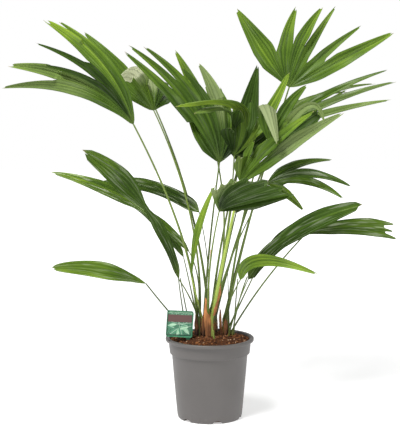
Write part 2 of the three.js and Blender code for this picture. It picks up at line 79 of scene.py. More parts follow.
STEMS = {
    "stem_left": dict(
        x=-20, y=10, foot=13, top=11, husk=0.3, strips=12,
        torn=(
            ((-5, -22, 176), (-8, -22, 262), 12, 272, 0.82),
            ((-1, -20, 176), (-2, -20, 238), 10, 285, 0.72),
            ((-12, -10, 176), (-14, -8, 228), 9, 260, 0.5),
            ((-27, -1, 176), (-30, -3, 224), 9, 255, 0.34),
        ),
    ),
    "stem_front": dict(
        x=1, y=-10, foot=10, top=9, husk=0.6, strips=5,
        torn=(
            ((-6, -15, 176), (-9, -14, 226), 7, 250, 0.6),
            ((12, -26, 238), (21, -30, 294), 11, 285, 0.92),
            ((9, -24, 226), (17, -28, 270), 9, 280, 0.85),
        ),
    ),
    "stem_right": dict(
        x=31, y=8, foot=11, top=9.5, husk=0.45, strips=8,
        torn=(
            ((33, -3, 176), (35, -3, 214), 8, 280, 0.5),
            ((24, 0, 176), (22, -1, 236), 6, 250, 0.62),
        ),
    ),
    "stem_back": dict(x=5, y=36, foot=13, top=11.5, husk=0.4, strips=12, torn=()),
}

# Thin stalks that bear no blade: foot, knee, end, radius at the foot and the end, and tone,
# which is above 1 for a dry orange one.

LOOSE_STALKS = (
    ((-48, 0, 176), (-60, -6, 240), (-67, -12, 305), 1.5, 1.1, 0.25),
    ((-38, -4, 176), (-52, -8, 240), (-63, -12, 305), 1.5, 1.1, 0.3),
    ((52, 6, 176), (54, 2, 240), (60, -2, 302), 1.5, 1.1, 0.4),
    ((48, -2, 176), (58, -6, 252), (80, -10, 308), 1.6, 1.2, 0.4),
    ((42, -4, 176), (40, -6, 260), (38, -6, 326), 1.8, 0.5, 0.15),
    ((-22, -10, 176), (-22, -14, 240), (-24, -14, 292), 1.1, 0.4, 0.25),
    ((9, -34, 176), (8, -34, 186), (7, -34, 196), 2.0, 1.7, 0.85),
    ((-2, -20, 180), (-4, -24, 290), (2, -26, 368), 1.3, 0.7, 1.25),
)

# What a frond has unless it says otherwise. Its segments fill the angle of spread, and its
# upper side looks along face. A segment is opens[0] of its width at the heart and full from
# opens[1] of its length, closes towards its tip from closes, by the power taper, and may have
# a waist at one share of its length, by another of its width. Its half width is no more than
# foot times its distance from the heart. With web_share it stays joined for that share of its
# own length. A shade is a segment's tone, which paints light or shade where it lies in the
# crown as well as its own colour, and how much of the pale underside colour it has beneath:
# what that has above 1 shows on its upper side too, as a painted sheen on folded leaves.
# gleam is how strong its gloss and its painted gloss highlights are.

HABIT = dict(
    spread=0, face=(0, 10), web_share=None, foot=0.36, opens=(0.3, 0.3), closes=0.5,
    taper=None, waist=(0.5, 0.0), tone=0.5, shades=None, gleam=0.1,
)
PLAIN_FOLD = 0.3

# Each frond: where it is rooted, its stalk's knee and the heart of its blade, the direction
# its segments leave the heart in, how far from the heart they stay joined, its stalk's radius
# at the foot and the heart and its tint, and its segments from left to right, each as swing,
# toward, reach and width, and at times how far its rib runs straight on and how far it rolls.

FRONDS = [{**HABIT, **own} for own in (
    dict(
        stem="stem_left", at=195, knee=(-30, -20, 381), heart=(-157, -80, 635), axis=(-26, 10),
        spread=34, face=(20, 55), web=198, tone=0.62, stalk=(3.26, 1.6, "pale"),
        shades=((0.6, 1.3), (0.58, 1.25), (0.22, 0.2), (0.3, 0.3), (0.7, 0.3), (0.5, 0.3)),
        segments=(
            (-72, 30, 302, 26), (-63, 22, 293, 38), (-54, 26, 235, 16), (-49, 15, 264, 18),
            (-40, 5, 281, 36), (-36, -5, 262, 28),
        ),
    ),
    dict(
        stem="stem_left", at=100, knee=(-12, 20, 431), heart=(-120, 45, 658), axis=(-8, 0),
        spread=95, face=(20, 50), web=90, stalk=(2.55, 1.29, "pale"),
        shades=((0.5, 0.3), (0.55, 0.3), (0.62, 2.4), (0.55, 1.95), (0.4, 0.3), (0.4, 0.3)),
        segments=(
            (-47, -18, 248, 28), (-42, -8, 228, 28), (-55, 46, 140, 42, 0.95),
            (-17, -34, 115, 28), (25, -55, 110, 30), (47, -73, 120, 30),
        ),
    ),
    dict(
        stem="stem_front", at=90, knee=(58, 22, 400), heart=(7, 40, 594), axis=(-15, -5),
        spread=60, face=(0, 60), web=70, tone=0.72, stalk=(2.46, 1.44, "pale"),
        segments=((-40, 15, 120, 24), (-23, -5, 211, 30), (-8, -25, 130, 26)),
    ),
    dict(
        stem="stem_left", at=20, knee=(-4, -2, 370), heart=(20, -20, 551), axis=(-2, 0),
        spread=72, face=(20, 50), web=160, tone=0.42, stalk=(2.55, 1.52, "olive"),
        shades=(
            (0.36, 0.3), (0.4, 0.3), (0.48, 0.3), (0.42, 0.3), (0.32, 0.3), (0.55, 1.55),
            (0.45, 0.3), (0.12, 0.2),
        ),
        segments=(
            (-29, -14, 140, 30, 0.62), (-40, 10, 310, 24, 0.45), (-37.5, 4, 312, 22),
            (-33, -3, 292, 22), (-22, -10, 220, 26), (-12, -18, 224, 40), (0, -34, 187, 28),
            (24, -48, 150, 28),
        ),
    ),
    dict(
        stem="stem_front", at=170, knee=(43, -32, 380), heart=(49, -70, 571), axis=(28, 4),
        spread=95, face=(-10, 45), web=60, tone=0.36, stalk=(2.64, 1.44, "pale"),
        shades=(
            (0.2, 0.15), (0.26, 0.15), (0.52, 0.15), (0.74, 0.15), (0.3, 0.3), (0.78, 0.3),
            (0.16, 0.2),
        ),
        segments=(
            (-8, 46, 88, 38, 0.7), (6, 42, 132, 42, 0.6), (-42, 38, 158, 44, 0.85, -20),
            (-48, 33, 190, 46, 0.86, 30), (18, -20, 125, 32), (35, -24, 227, 28, 0.3),
            (58, -22, 102, 30, 0.2),
        ),
    ),
    dict(
        stem="stem_back", at=310, knee=(35, 64, 380), heart=(64, 80, 542), axis=(10, -12),
        spread=60, face=(0, 60), web=70, tone=0.3, stalk=(2.46, 1.44, "dark"),
        segments=((-14, -20, 180, 30), (11, -10, 221, 48), (34, -24, 170, 30)),
    ),
    dict(
        stem="stem_right", at=80, knee=(85, 40, 440), heart=(171, 70, 707), axis=(14, -2),
        spread=96, face=(0, 65), web=95, tone=0.6, stalk=(3.08, 1.6, "olive"),
        segments=(
            (-34, -5, 204, 46), (5, 0, 174, 33), (22, 3, 186, 32), (30, -5, 202, 20),
            (50, -10, 210, 20), (62, 2, 252, 34),
        ),
    ),
    dict(
        stem="stem_front", at=293, knee=(29, -60, 360), heart=(61, -110, 518), axis=(20, 10),
        spread=56, face=(-20, 50), web=70, tone=0.8, stalk=(3.9, 2.38, "bright"),
        shades=((0.62, 1.25), (0.5, 0.4), (0.5, 0.4), (0.55, 0.4), (0.62, 1.5)),
        segments=(
            (-2, 23, 62, 26), (18, 5, 92, 28), (36, 0, 118, 28), (44, 20, 222, 24),
            (54, 16, 261, 34),
        ),
    ),
    dict(
        stem="stem_right", at=15, knee=(60, 28, 430), heart=(120, 28, 608), axis=(50, 0),
        spread=40, face=(-20, 45), web=85, gleam=0.4, stalk=(2.73, 1.44, "olive"),
        shades=((0.58, 1.25), (0.5, 1.15), (0.45, 0.8), (0.5, 1.2), (0.58, 1.25)),
        segments=(
            (64, -24, 220, 18), (66, -14, 271, 18), (62, -2, 294, 20), (67, 9, 296, 20),
            (73, 18, 280, 18),
        ),
    ),
    dict(
        stem="stem_right", at=315, knee=(76, -52, 425), heart=(125, -80, 590), axis=(22, 8),
        spread=62, face=(0, 58), web=60, tone=0.3, stalk=(2.46, 1.37, "olive"),
        shades=((0.6, 1.62), (0.5, 0.3), (0.6, 1.5), (0.22, 0.1)),
        segments=(
            (30, 81.5, 107, 38, 1.55), (32, -25, 162, 26), (64, 14, 122, 20, 1.42),
            (55, 2, 116, 54, 1.2),
        ),
    ),
    dict(
        stem="stem_left", at=240, knee=(-40, -15, 265), heart=(-65, -50, 307), axis=(-13, 12),
        face=(40, 45), web=80, opens=(0.35, 0.75), closes=0.72, taper=0.5, waist=(0.48, 0.72),
        tone=0.36, gleam=0.3, stalk=(1.94, 1.14, "olive"),
        segments=((-34, 21, 366, 50),),
    ),
    dict(
        stem="stem_left", at=148, knee=(-14, 4, 300), heart=(-42, -10, 359), axis=(-40, -3),
        face=(30, 40), web=70, opens=(0.45, 0.55), closes=0.66, waist=(0.38, 0.6), tone=0.6,
        gleam=1, stalk=(1.85, 1.06, "olive"),
        segments=((-60.5, -5, 346, 39),),
    ),
    dict(
        soil=(-38, -4), knee=(-75, -20, 215), heart=(-133, -50, 299), axis=(-66, 15),
        face=(10, 40), web=80, opens=(0.25, 0.45), taper=0.5, tone=0.66, gleam=0.5,
        stalk=(1.9, 1.4, "dark"),
        segments=((-76.5, 22, 212, 45),),
    ),
    dict(
        stem="stem_back", at=200, knee=(4, 38, 330), heart=(-21, 40, 439), axis=(-53, -12),
        face=(10, 40), web=60, foot=0.8, opens=(0.6, 0.15), closes=0.6, tone=0.34, gleam=0.5,
        stalk=(1.5, 0.91, "dark"),
        segments=((-76, -19, 247, 38),),
    ),
    dict(
        stem="stem_left", at=300, knee=(-28, -5, 260), heart=(-39, -20, 307), axis=(3, 4),
        face=(-60, 30), web=70, opens=(0.25, 0.5), tone=0.72, stalk=(2.11, 1.22, "bright"),
        segments=((14, 6, 208, 27),),
    ),
    dict(
        stem="stem_front", at=231, knee=(-9, -66, 330), heart=(18, -130, 461), axis=(-1, 36),
        spread=76, face=(-10, 40), web_share=0.92, foot=0.16, tone=0.36, gleam=0.2,
        stalk=(2.55, 1.37, "pale"),
        shades=(
            (0.66, 1.7), (0.6, 1.6), (0.4, 1.3), (0.16, 0.2), (0.18, 0.2), (0.2, 0.2),
            (0.24, 0.2),
        ),
        segments=(
            (-8, 50, 77, 34, 0.6), (8, 49, 96, 36), (22, 46, 112, 40), (38, 42, 128, 44),
            (54, 36, 148, 44, 0.45), (66, 28, 158, 36, 0.3), (74.5, 20, 166, 25, 0.15),
        ),
    ),
    dict(
        stem="stem_front", at=355, knee=(27, -32, 340), heart=(117, -50, 510), axis=(65, 6),
        spread=54, face=(0, 40), web=70, tone=0.4, gleam=0.4, stalk=(1.94, 1.06, "olive"),
        shades=((0.4, 0.3), (0.42, 0.3), (0.5, 0.3), (0.72, 0.3)),
        segments=(
            (71, -11, 151, 26), (90, 16, 179, 25), (97, 36, 187, 20), (124, 22, 98, 20, 0.3),
        ),
    ),
    dict(
        soil=(40, -14), knee=(55, -34, 250), heart=(79, -70, 311), axis=(29, 16),
        face=(-40, 40), web=90, foot=0.85, opens=(0.72, 0.6), closes=0.72, taper=0.45,
        waist=(0.38, 0.2), tone=0.28, gleam=0.35, stalk=(1.67, 0.99, "olive"),
        segments=((53, 21, 302, 47, 0.45),),
    ),
    dict(
        stem="stem_right", at=250, knee=(42, -32, 265), heart=(63, -65, 308), axis=(3, 28),
        face=(-10, 35), web=60, foot=0.6, opens=(0.8, 0.2), closes=0.4, tone=0.8,
        stalk=(1.94, 1.14, "olive"),
        segments=((77.5, 38, 198, 27, 0.5),),
    ),
    dict(
        soil=(44, 12), knee=(112, 28, 296), heart=(206, 40, 393), axis=(76, -10), spread=12,
        face=(-5, 45), web=185, closes=0.72, gleam=0.7, stalk=(1.9, 1.5, "olive"),
        segments=((86.5, -17, 212, 22), (90.6, -15, 206, 16), (95, -12, 212, 24)),
    ),
    dict(
        stem="stem_back", at=148, knee=(-20, 90, 440), heart=(-120, 190, 655), axis=(-45, -45),
        spread=70, web=80, stalk=(2.99, 1.6, "olive"),
        segments=(
            (-54, -30, 201, 28), (-63, -49, 199, 28), (-58, -65, 199, 28), (-40, -80, 191, 28),
        ),
    ),
    dict(
        stem="stem_back", at=98, knee=(24, 92, 400), heart=(75, 170, 565), axis=(0, -40),
        spread=70, face=(0, 30), web=80, stalk=(2.82, 1.6, "olive"),
        segments=(
            (-33, -48, 175, 28), (-8, -51, 160, 28), (9, -45, 165, 28), (32, -58, 212, 28),
        ),
    ),
    dict(
        stem="stem_back", at=3, knee=(62, 78, 420), heart=(163, 150, 629), axis=(55, -40),
        spread=70, web=80, stalk=(2.99, 1.6, "olive"),
        segments=(
            (51, -71, 201, 28), (72, -57, 192, 28), (63, -33, 160, 26), (64, -14, 166, 24),
        ),
    ),
    dict(
        soil=(-22, 38), knee=(-38, 52, 260), heart=(-56, 70, 336), axis=(-35, -40), web=80,
        tone=0.45, stalk=(1.85, 1.06, "olive"),
        segments=((-56, -55, 281, 34),),
    ),
    dict(
        soil=(36, 25), knee=(76, 46, 260), heart=(115, 80, 334), axis=(45, -30), web=80,
        tone=0.45, stalk=(1.85, 1.06, "olive"),
        segments=((66, -44, 261, 34),),
    ),
    dict(
        stem="stem_back", at=50, knee=(34, 68, 340), heart=(59, 130, 427), axis=(20, -60),
        spread=50, web=80, tone=0.4, stalk=(2.46, 1.44, "olive"),
        segments=((-38, -84, 211, 26), (46, -77, 246, 26), (69, -65, 220, 26)),
    ),
)]


# ---------------------------------------------------------------- shader sums


class Wire:
    """An output socket that can be used in sums. Each operator adds its Math node."""

    def __init__(self, look, socket):
        self.look = look
        self.socket = socket

    def math(self, operation, *others, flip=False):
        terms = [self, *others]
        if flip:
            terms.reverse()
        return self.look.add("ShaderNodeMath", dict(enumerate(terms)), operation=operation)

    def __add__(self, other):
        return self.math("ADD", other)

    __radd__ = __add__

    def __mul__(self, other):
        return self.math("MULTIPLY", other)

    __rmul__ = __mul__

    def __sub__(self, other):
        return self.math("SUBTRACT", other)

    def __rsub__(self, other):
        return self.math("SUBTRACT", other, flip=True)

    def __pow__(self, other):
        return self.math("POWER", other)

    def __abs__(self):
        return self.math("ABSOLUTE")

    def fraction(self):
        return self.math("FRACT")

    def step(self, low, high):
        """0 below low, 1 above high and smooth between."""
        values = {"Value": self, "From Min": low, "From Max": high}
        return self.look.add("ShaderNodeMapRange", values, interpolation_type="SMOOTHSTEP")


class Look:
    """A material and the nodes that are added to it."""

    def __init__(self, name):
        self.material = bpy.data.materials.new(name)
        self.material.use_nodes = True
        self.tree = self.material.node_tree
        self.shader = self.tree.nodes["Principled BSDF"]

    def feed(self, socket, value):
        if isinstance(value, Wire):
            self.tree.links.new(value.socket, socket)
        elif socket.type == "RGBA":
            socket.default_value = (*value[:3], 1)
        else:
            socket.default_value = value

    def add(self, kind, values=None, out=0, stops=None, **settings):
        """Adds a node: its settings first, then a ramp's stops, then its sockets."""
        node = self.tree.nodes.new(kind)
        for name, value in settings.items():
            setattr(node, name, value)
        if stops:
            elements = node.color_ramp.elements
            while len(elements) < len(stops):
                elements.new(1)
            for element, (place, colour) in zip(elements, stops):
                element.position = place
                element.color = (*colour, 1)
        for key, value in (values or {}).items():
            self.feed(node.inputs[key], value)
        return Wire(self, node.outputs[out])

    def set(self, **sockets):
        for name, value in sockets.items():
            self.feed(self.shader.inputs[name.replace("_", " ")], value)
        return self.material

    def blend(self, share, first, second):
        """A colour from first to second."""
        values = {0: share, 6: first, 7: second}
        return self.add("ShaderNodeMix", values, out=2, data_type="RGBA")

    def ramp(self, share, *stops):
        return self.add("ShaderNodeValToRGB", {"Fac": share}, stops=stops)

    def place(self):
        return self.add("ShaderNodeTexCoord", out=3)

    def parts(self, vector):
        return [self.add("ShaderNodeSeparateXYZ", {0: vector}, out=i) for i in range(3)]

    def vector(self, x, y, z=0.0):
        return self.add("ShaderNodeCombineXYZ", {0: x, 1: y, 2: z})

    def own(self, attribute):
        return self.add("ShaderNodeAttribute", out=2, attribute_name=attribute)

    def map(self):
        return self.parts(self.add("ShaderNodeUVMap", uv_map="UVMap"))[:2]

    def noise(self, vector, scale, detail=3.0, roughness=0.5):
        values = {"Vector": vector, "Scale": scale, "Detail": detail, "Roughness": roughness}
        return self.add("ShaderNodeTexNoise", values)

    def bump(self, height, distance, strength=1.0):
        values = {"Height": height, "Distance": distance, "Strength": strength}
        return self.add("ShaderNodeBump", values)


# ---------------------------------------------------------------- modelling tools


def clear_selection():
    if bpy.context.object and bpy.context.object.mode != "OBJECT":
        bpy.ops.object.mode_set(mode="OBJECT")
    bpy.ops.object.select_all(action="DESELECT")


def select_only(piece):
    clear_selection()
    piece.select_set(True)
    bpy.context.view_layer.objects.active = piece


def settle(piece):
    """Puts the piece's place and size into its mesh."""
    select_only(piece)
    bpy.ops.object.transform_apply(location=True, rotation=True, scale=True)


def apply_modifier(piece, kind, **settings):
    modifier = piece.modifiers.new(kind.title(), kind)
    for name, value in settings.items():
        setattr(modifier, name, value)
    select_only(piece)
    bpy.ops.object.modifier_apply(modifier=modifier.name)


def smooth(piece, degrees):
    select_only(piece)
    bpy.ops.object.shade_smooth_by_angle(angle=math.radians(degrees))


def face_outwards():
    """Turns the faces of the piece that is in edit mode outwards, and ends its editing."""
    bpy.ops.mesh.select_all(action="SELECT")
    bpy.ops.mesh.normals_make_consistent(inside=False)
    bpy.ops.object.mode_set(mode="OBJECT")


def belong(piece, slot, *nodes):
    """The finished piece rides with the plant and stands for these nodes."""
    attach(piece, "root")
    if nodes:
        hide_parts(*nodes)
    return piece


def block(name, middle, size):
    """A plain block, its middle and size in millimetres."""
    clear_selection()
    bpy.ops.mesh.primitive_cube_add(
        size=1, location=[v * MM for v in middle], scale=[v * MM for v in size]
    )
    piece = bpy.context.object
    piece.name = piece.data.name = name
    settle(piece)
    return piece


def turn_rings(name, profile, sides):
    """A round solid, drawn ring by ring: each ring is extruded, lifted and scaled."""
    clear_selection()
    radius, height = profile[0]
    bpy.ops.mesh.primitive_circle_add(
        vertices=sides, radius=radius * MM, fill_type="NGON", location=(0, 0, height * MM)
    )
    piece = bpy.context.object
    piece.name = piece.data.name = name
    settle(piece)
    bpy.ops.object.mode_set(mode="EDIT")
    bpy.ops.mesh.select_all(action="SELECT")
    for next_radius, next_height in profile[1:]:
        rise = (0, 0, (next_height - height) * MM)
        bpy.ops.mesh.extrude_region_move(TRANSFORM_OT_translate={"value": rise})
        share = next_radius / radius
        centre = (0, 0, next_height * MM)
        bpy.ops.transform.resize(value=(share, share, 1), center_override=centre)
        radius, height = next_radius, next_height
    face_outwards()
    return piece


class Mesh:
    """Points in millimetres and faces, with numbers on the points as attributes."""

    def __init__(self, **numbers):
        self.points, self.places, self.faces = [], [], []
        self.defaults = numbers
        self.numbers = {name: [] for name in numbers}

    def point(self, place, uv=(0.0, 0.0), **numbers):
        self.points.append(Vector(place))
        self.places.append(uv)
        for name, values in self.numbers.items():
            values.append(numbers.get(name, self.defaults[name]))
        return len(self.points) - 1

    def close_rings(self, rings):
        """Walls between rings of points, and a face over each end."""
        for low, high in zip(rings, rings[1:]):
            self.faces.extend(zip(low, (*low[1:], low[0]), (*high[1:], high[0]), high))
        self.faces.append(tuple(reversed(rings[0])))
        self.faces.append(tuple(rings[-1]))

    def make(self, name, material):
        mesh = bpy.data.meshes.new(name)
        mesh.from_pydata([p * MM for p in self.points], [], self.faces)
        layer = mesh.uv_layers.new(name="UVMap")
        corners = [c for loop in mesh.loops for c in self.places[loop.vertex_index]]
        layer.uv.foreach_set("vector", corners)
        for attribute, values in self.numbers.items():
            mesh.attributes.new(attribute, "FLOAT", "POINT").data.foreach_set("value", values)
        mesh.materials.append(material)
        mesh.validate()
        piece = bpy.data.objects.new(name, mesh)
        bpy.context.scene.collection.objects.link(piece)
        return piece


def aim(swing, toward):
    """The way that swings from upright to +X and leans toward the front."""
    s, t = math.radians(swing), math.radians(toward)
    return Vector((math.sin(s) * math.cos(t), -math.sin(t), math.cos(s) * math.cos(t)))


def around(x, y, bearing, radius, height=0.0):
    """The point at a bearing, in radians, and a radius from x, y."""
    return Vector((x + radius * math.cos(bearing), y + radius * math.sin(bearing), height))


def smoothstep(value, low, high):
    t = min(max((value - low) / (high - low), 0.0), 1.0)
    return t * t * (3 - 2 * t)


def lerp(a, b, share):
    return a + (b - a) * share


def bowed(foot, knee, end, share):
    """A point on the curve that leaves foot towards knee and comes to end."""
    rest = 1 - share
    return foot * rest * rest + knee * 2 * rest * share + end * share * share


def bow(foot, knee, end, steps):
    foot, knee, end = Vector(foot), Vector(knee), Vector(end)
    return [bowed(foot, knee, end, i / steps) for i in range(steps + 1)]


def tube(mesh, centres, radii, sides, flat=1.0, **numbers):
    """A closed round bar along its centres."""
    side = Vector((1, 0, 0))
    rings = []
    last = len(centres) - 1
    length = 0.0
    for i, centre in enumerate(centres):
        ahead = centres[min(i + 1, last)] - centres[max(i - 1, 0)]
        ahead.normalize()
        side = (side - ahead * side.dot(ahead)).normalized()
        out = ahead.cross(side)
        if i:
            length += (centre - centres[i - 1]).length
        ring = []
        for k in range(sides):
            angle = math.tau * k / sides
            shift = side * math.cos(angle) + out * math.sin(angle) * flat
            place = (k / sides, length / UV_UNIT)
            ring.append(mesh.point(centre + shift * radii[i], place, share=i / last, **numbers))
        rings.append(ring)
    mesh.close_rings(rings)


# ---------------------------------------------------------------- blades


class Segment:
    """One segment of a blade. Its rib bends from the heart to the tip, and turns its frame."""

    STEPS = 48
    TWIST = 12
    TWIST_SPAN = (0.4, 1)
    ROLL_SPAN = (0.2, 0.7)
    FORK_AT = (0.95, 0.985)
    TAPER = (0.62, 0.86)
    SHORTER_POINT = (0.965, 0.99)

    def __init__(self, heart, face, launch, row, shade, dice):
        swing, toward, reach, self.width = row[:4]
        rise, roll = (*row[4:], *(0.5, 0)[len(row) - 4:])
        self.shade = shade
        self.launch = launch
        self.normal = (face - launch * face.dot(launch)).normalized()
        self.bend = (heart, heart + launch * reach * rise, heart + aim(swing, toward) * reach)
        self.roll = math.radians(roll)
        self.twist = math.radians(dice.uniform(-self.TWIST, self.TWIST))
        self.fork = dice.uniform(*self.FORK_AT)
        self.taper = dice.uniform(*self.TAPER)
        self.ends = [1.0, dice.uniform(*self.SHORTER_POINT)]
        dice.shuffle(self.ends)
        self.lengths = [0.0]
        rib = bow(*self.bend, self.STEPS)
        for before, point in zip(rib, rib[1:]):
            self.lengths.append(self.lengths[-1] + (point - before).length)
        self.length = self.lengths[-1]

    def frame(self, distance):
        """The rib's point, the way across the segment and the way its upper side looks."""
        i = min(bisect.bisect_right(self.lengths, distance), self.STEPS) - 1
        low, high = self.lengths[i], self.lengths[i + 1]
        share = (i + (distance - low) / (high - low)) / self.STEPS
        foot, knee, end = self.bend
        ahead = ((knee - foot) * (1 - share) + (end - knee) * share).normalized()
        normal = self.launch.rotation_difference(ahead) @ self.normal
        angle = self.twist * smoothstep(share, *self.TWIST_SPAN)
        angle += self.roll * smoothstep(share, *self.ROLL_SPAN)
        normal.rotate(Matrix.Rotation(angle, 3, ahead))
        return bowed(foot, knee, end, share), ahead.cross(normal), normal


class Blade:
    """A pleated fan: its segments share a seam near the heart and part further out."""

    APEX = 1.2
    ROW_PITCH = 10
    ROWS_LEAST = 6
    WEB_MOST = 0.92
    FORK_LEAST = 0.3
    FORK_BEND = 0.8
    SEAM_REACH = 1.15
    ROOM = 0.47
    WAIST_SPAN = 0.1

    def __init__(self, frond, sizes, dice):
        heart, axis, face = Vector(frond["heart"]), aim(*frond["axis"]), aim(*frond["face"])
        face = (face - axis * face.dot(axis)).normalized()
        rows = frond["segments"]
        last = len(rows) - 1
        shades = frond["shades"] or [(frond["tone"], PLAIN_FOLD)] * len(rows)
        self.frond, self.sizes = frond, sizes
        self.apex = heart + axis * self.APEX
        self.segments = []
        for k, (row, shade) in enumerate(zip(rows, shades)):
            fan = k / last - 0.5 if last else 0.0
            turn = Matrix.Rotation(-math.radians(frond["spread"]) * fan, 3, face)
            self.segments.append(Segment(heart, face, turn @ axis, row, shade, dice))
        shortest = min(s.length for s in self.segments)
        for segment in self.segments:
            if frond["web_share"]:
                segment.web = segment.length * frond["web_share"]
            else:
                segment.web = min(frond["web"], shortest * self.WEB_MOST)
        longest = max(s.web for s in self.segments)
        self.web_rows = max(self.ROWS_LEAST, round(longest / self.ROW_PITCH))
        self.free_rows = sizes.free_rows
        self.rows = self.web_rows + self.free_rows
        self.fork_rows = [
            self.web_rows + min(round(self.free_rows * self.fork_share(s)), self.free_rows - 1) - 1
            for s in self.segments
        ]
        self.frames = [
            [s.frame(self.distance(s, row)) for row in range(self.rows)] for s in self.segments
        ]
        self.joined = [self.joined_rows(k) for k in range(last)]
        pleat = sizes.pleat_width / MM
        self.pleats = [max(1, round(s.width / pleat / 2)) * 2 for s in self.segments]

    def fork_share(self, segment):
        free = segment.length - segment.web
        return max(self.FORK_LEAST, (segment.fork * segment.length - segment.web) / free)

    def distance(self, segment, row, end=1.0):
        if row < self.web_rows:
            return segment.web * (row + 1) / self.web_rows
        share = (row + 1 - self.web_rows) / self.free_rows
        return lerp(segment.web, segment.length * end, share)

    def spacing(self, k, row):
        """How far apart the ribs of a segment and the next one are."""
        if k < 0 or k + 1 >= len(self.segments):
            return math.inf
        return (self.frames[k][row][0] - self.frames[k + 1][row][0]).length

    def joined_rows(self, k):
        """How many rows a pair shares: until its ribs stand a full segment apart."""
        limit = self.SEAM_REACH * (self.segments[k].width + self.segments[k + 1].width) / 2
        row = 0
        while row + 1 < self.web_rows and self.spacing(k, row + 1) <= limit:
            row += 1
        return row + 1

    def half_width(self, k, row, way):
        segment = self.segments[k]
        distance = self.distance(segment, row)
        share = distance / segment.length
        foot_width, widest_from = self.frond["opens"]
        waist_at, waist_depth = self.frond["waist"]
        opening = lerp(foot_width, 1, smoothstep(share, 0, widest_from))
        taper = self.frond["taper"] or segment.taper
        closing = min(1.0, (1 - share) / (1 - self.frond["closes"])) ** taper
        waist = 1 - waist_depth * math.exp(-(((share - waist_at) / self.WAIST_SPAN) ** 2))
        tip = self.sizes.tip_share
        full = segment.width / 2 * opening * waist * (tip + (1 - tip) * closing)
        room = self.spacing(k - 1 if way < 0 else k, row) * self.ROOM
        return min(full, room, distance * self.frond["foot"])

    def seam(self, k, row):
        a, b = self.frames[k][row], self.frames[k + 1][row]
        outward = (a[2] + b[2]).normalized()
        return (a[0] + b[0]) / 2 + outward * self.half_width(k, row, 1) * self.sizes.keel

    def rib(self, k, row):
        point, _, normal = self.frames[k][row]
        half = (self.half_width(k, row, -1) + self.half_width(k, row, 1)) / 2
        return point - normal * half * self.sizes.keel

    def edge(self, k, row, way, end):
        point, across, normal = self.frames[k][row]
        if end < 1.0:
            segment = self.segments[k]
            point, across, normal = segment.frame(self.distance(segment, row, end))
        half = self.half_width(k, row, way)
        return point + across * half * way + normal * half * self.sizes.keel

    def build(self, mesh):
        """Lays out the sheet, then gives it its two sides."""
        sheet = Sheet(mesh, self.sizes.leaf_thickness / MM)
        middle = self.segments[len(self.segments) // 2].shade
        apex = sheet.point(self.apex, (0, 0), middle, 0)
        start = 0.0
        left_seam = {}
        for k, segment in enumerate(self.segments):
            count = self.pleats[k]
            centre = start + count / 2
            ribs = []
            for row in range(self.fork_rows[k] + 1):
                distance = self.distance(segment, row)
                uv = (centre, distance / UV_UNIT)
                place = self.rib(k, row)
                ribs.append(sheet.point(place, uv, segment.shade, distance / segment.length))
            right_seam = {}
            for way, seam in ((-1, left_seam), (1, right_seam)):
                rows = self.side(sheet, k, way, centre, ribs, seam)
                sheet.fan(apex, rows[0], way)
                for low, high in zip(rows, rows[1:]):
                    sheet.strip(low, high, way)
            left_seam = right_seam
            start += count
        sheet.close()

    def side(self, sheet, k, way, centre, ribs, seam):
        """One half of a segment: for each row its points from the rib out to the edge.

        The outer points go into seam, where the next segment finds those that it shares.
        """
        segment, count, fork = self.segments[k], self.pleats[k], self.fork_rows[k]
        end = segment.ends[0 if way < 0 else 1]
        pair = k - 1 if way < 0 else k
        joined = self.joined[pair] if 0 <= pair < len(self.joined) else 0
        rows = []
        for row in range(self.rows):
            past = max(0, row - fork) / (self.rows - 1 - fork)
            own_end = lerp(1.0, end, past)
            distance = self.distance(segment, row, own_end)
            share = distance / segment.length
            along = distance / UV_UNIT
            shared = row < joined
            if shared and way < 0:
                outer = seam[row]
            else:
                place = self.seam(k, row) if shared else self.edge(k, row, way, own_end)
                uv = (centre + way * count / 2, along)
                outer = seam[row] = sheet.point(place, uv, segment.shade, share)
            if row == self.rows - 1:
                rows.append([outer])
                continue
            if row <= fork:
                inner = ribs[row]
            else:
                place = self.rib(k, row).lerp(sheet.points[outer], past ** self.FORK_BEND)
                inner = sheet.point(place, (centre, along), segment.shade, share)
            rows.append(self.pleated(sheet, k, row, way, inner, outer, centre, share))
        return rows

    def pleated(self, sheet, k, row, way, inner, outer, centre, share):
        """A row's points from inner to outer, up and down across the pleats."""
        count = self.pleats[k]
        a, b = sheet.points[inner], sheet.points[outer]
        normal = self.frames[k][row][2]
        depth = (b - a).length / count * self.sizes.pleat_depth
        found = [inner]
        for c in range(1, count):
            place = a.lerp(b, c / count) + normal * (depth if c % 2 else -depth)
            uv = (centre + way * c / 2, sheet.uvs[inner][1])
            found.append(sheet.point(place, uv, self.segments[k].shade, share))
        return [*found, outer]


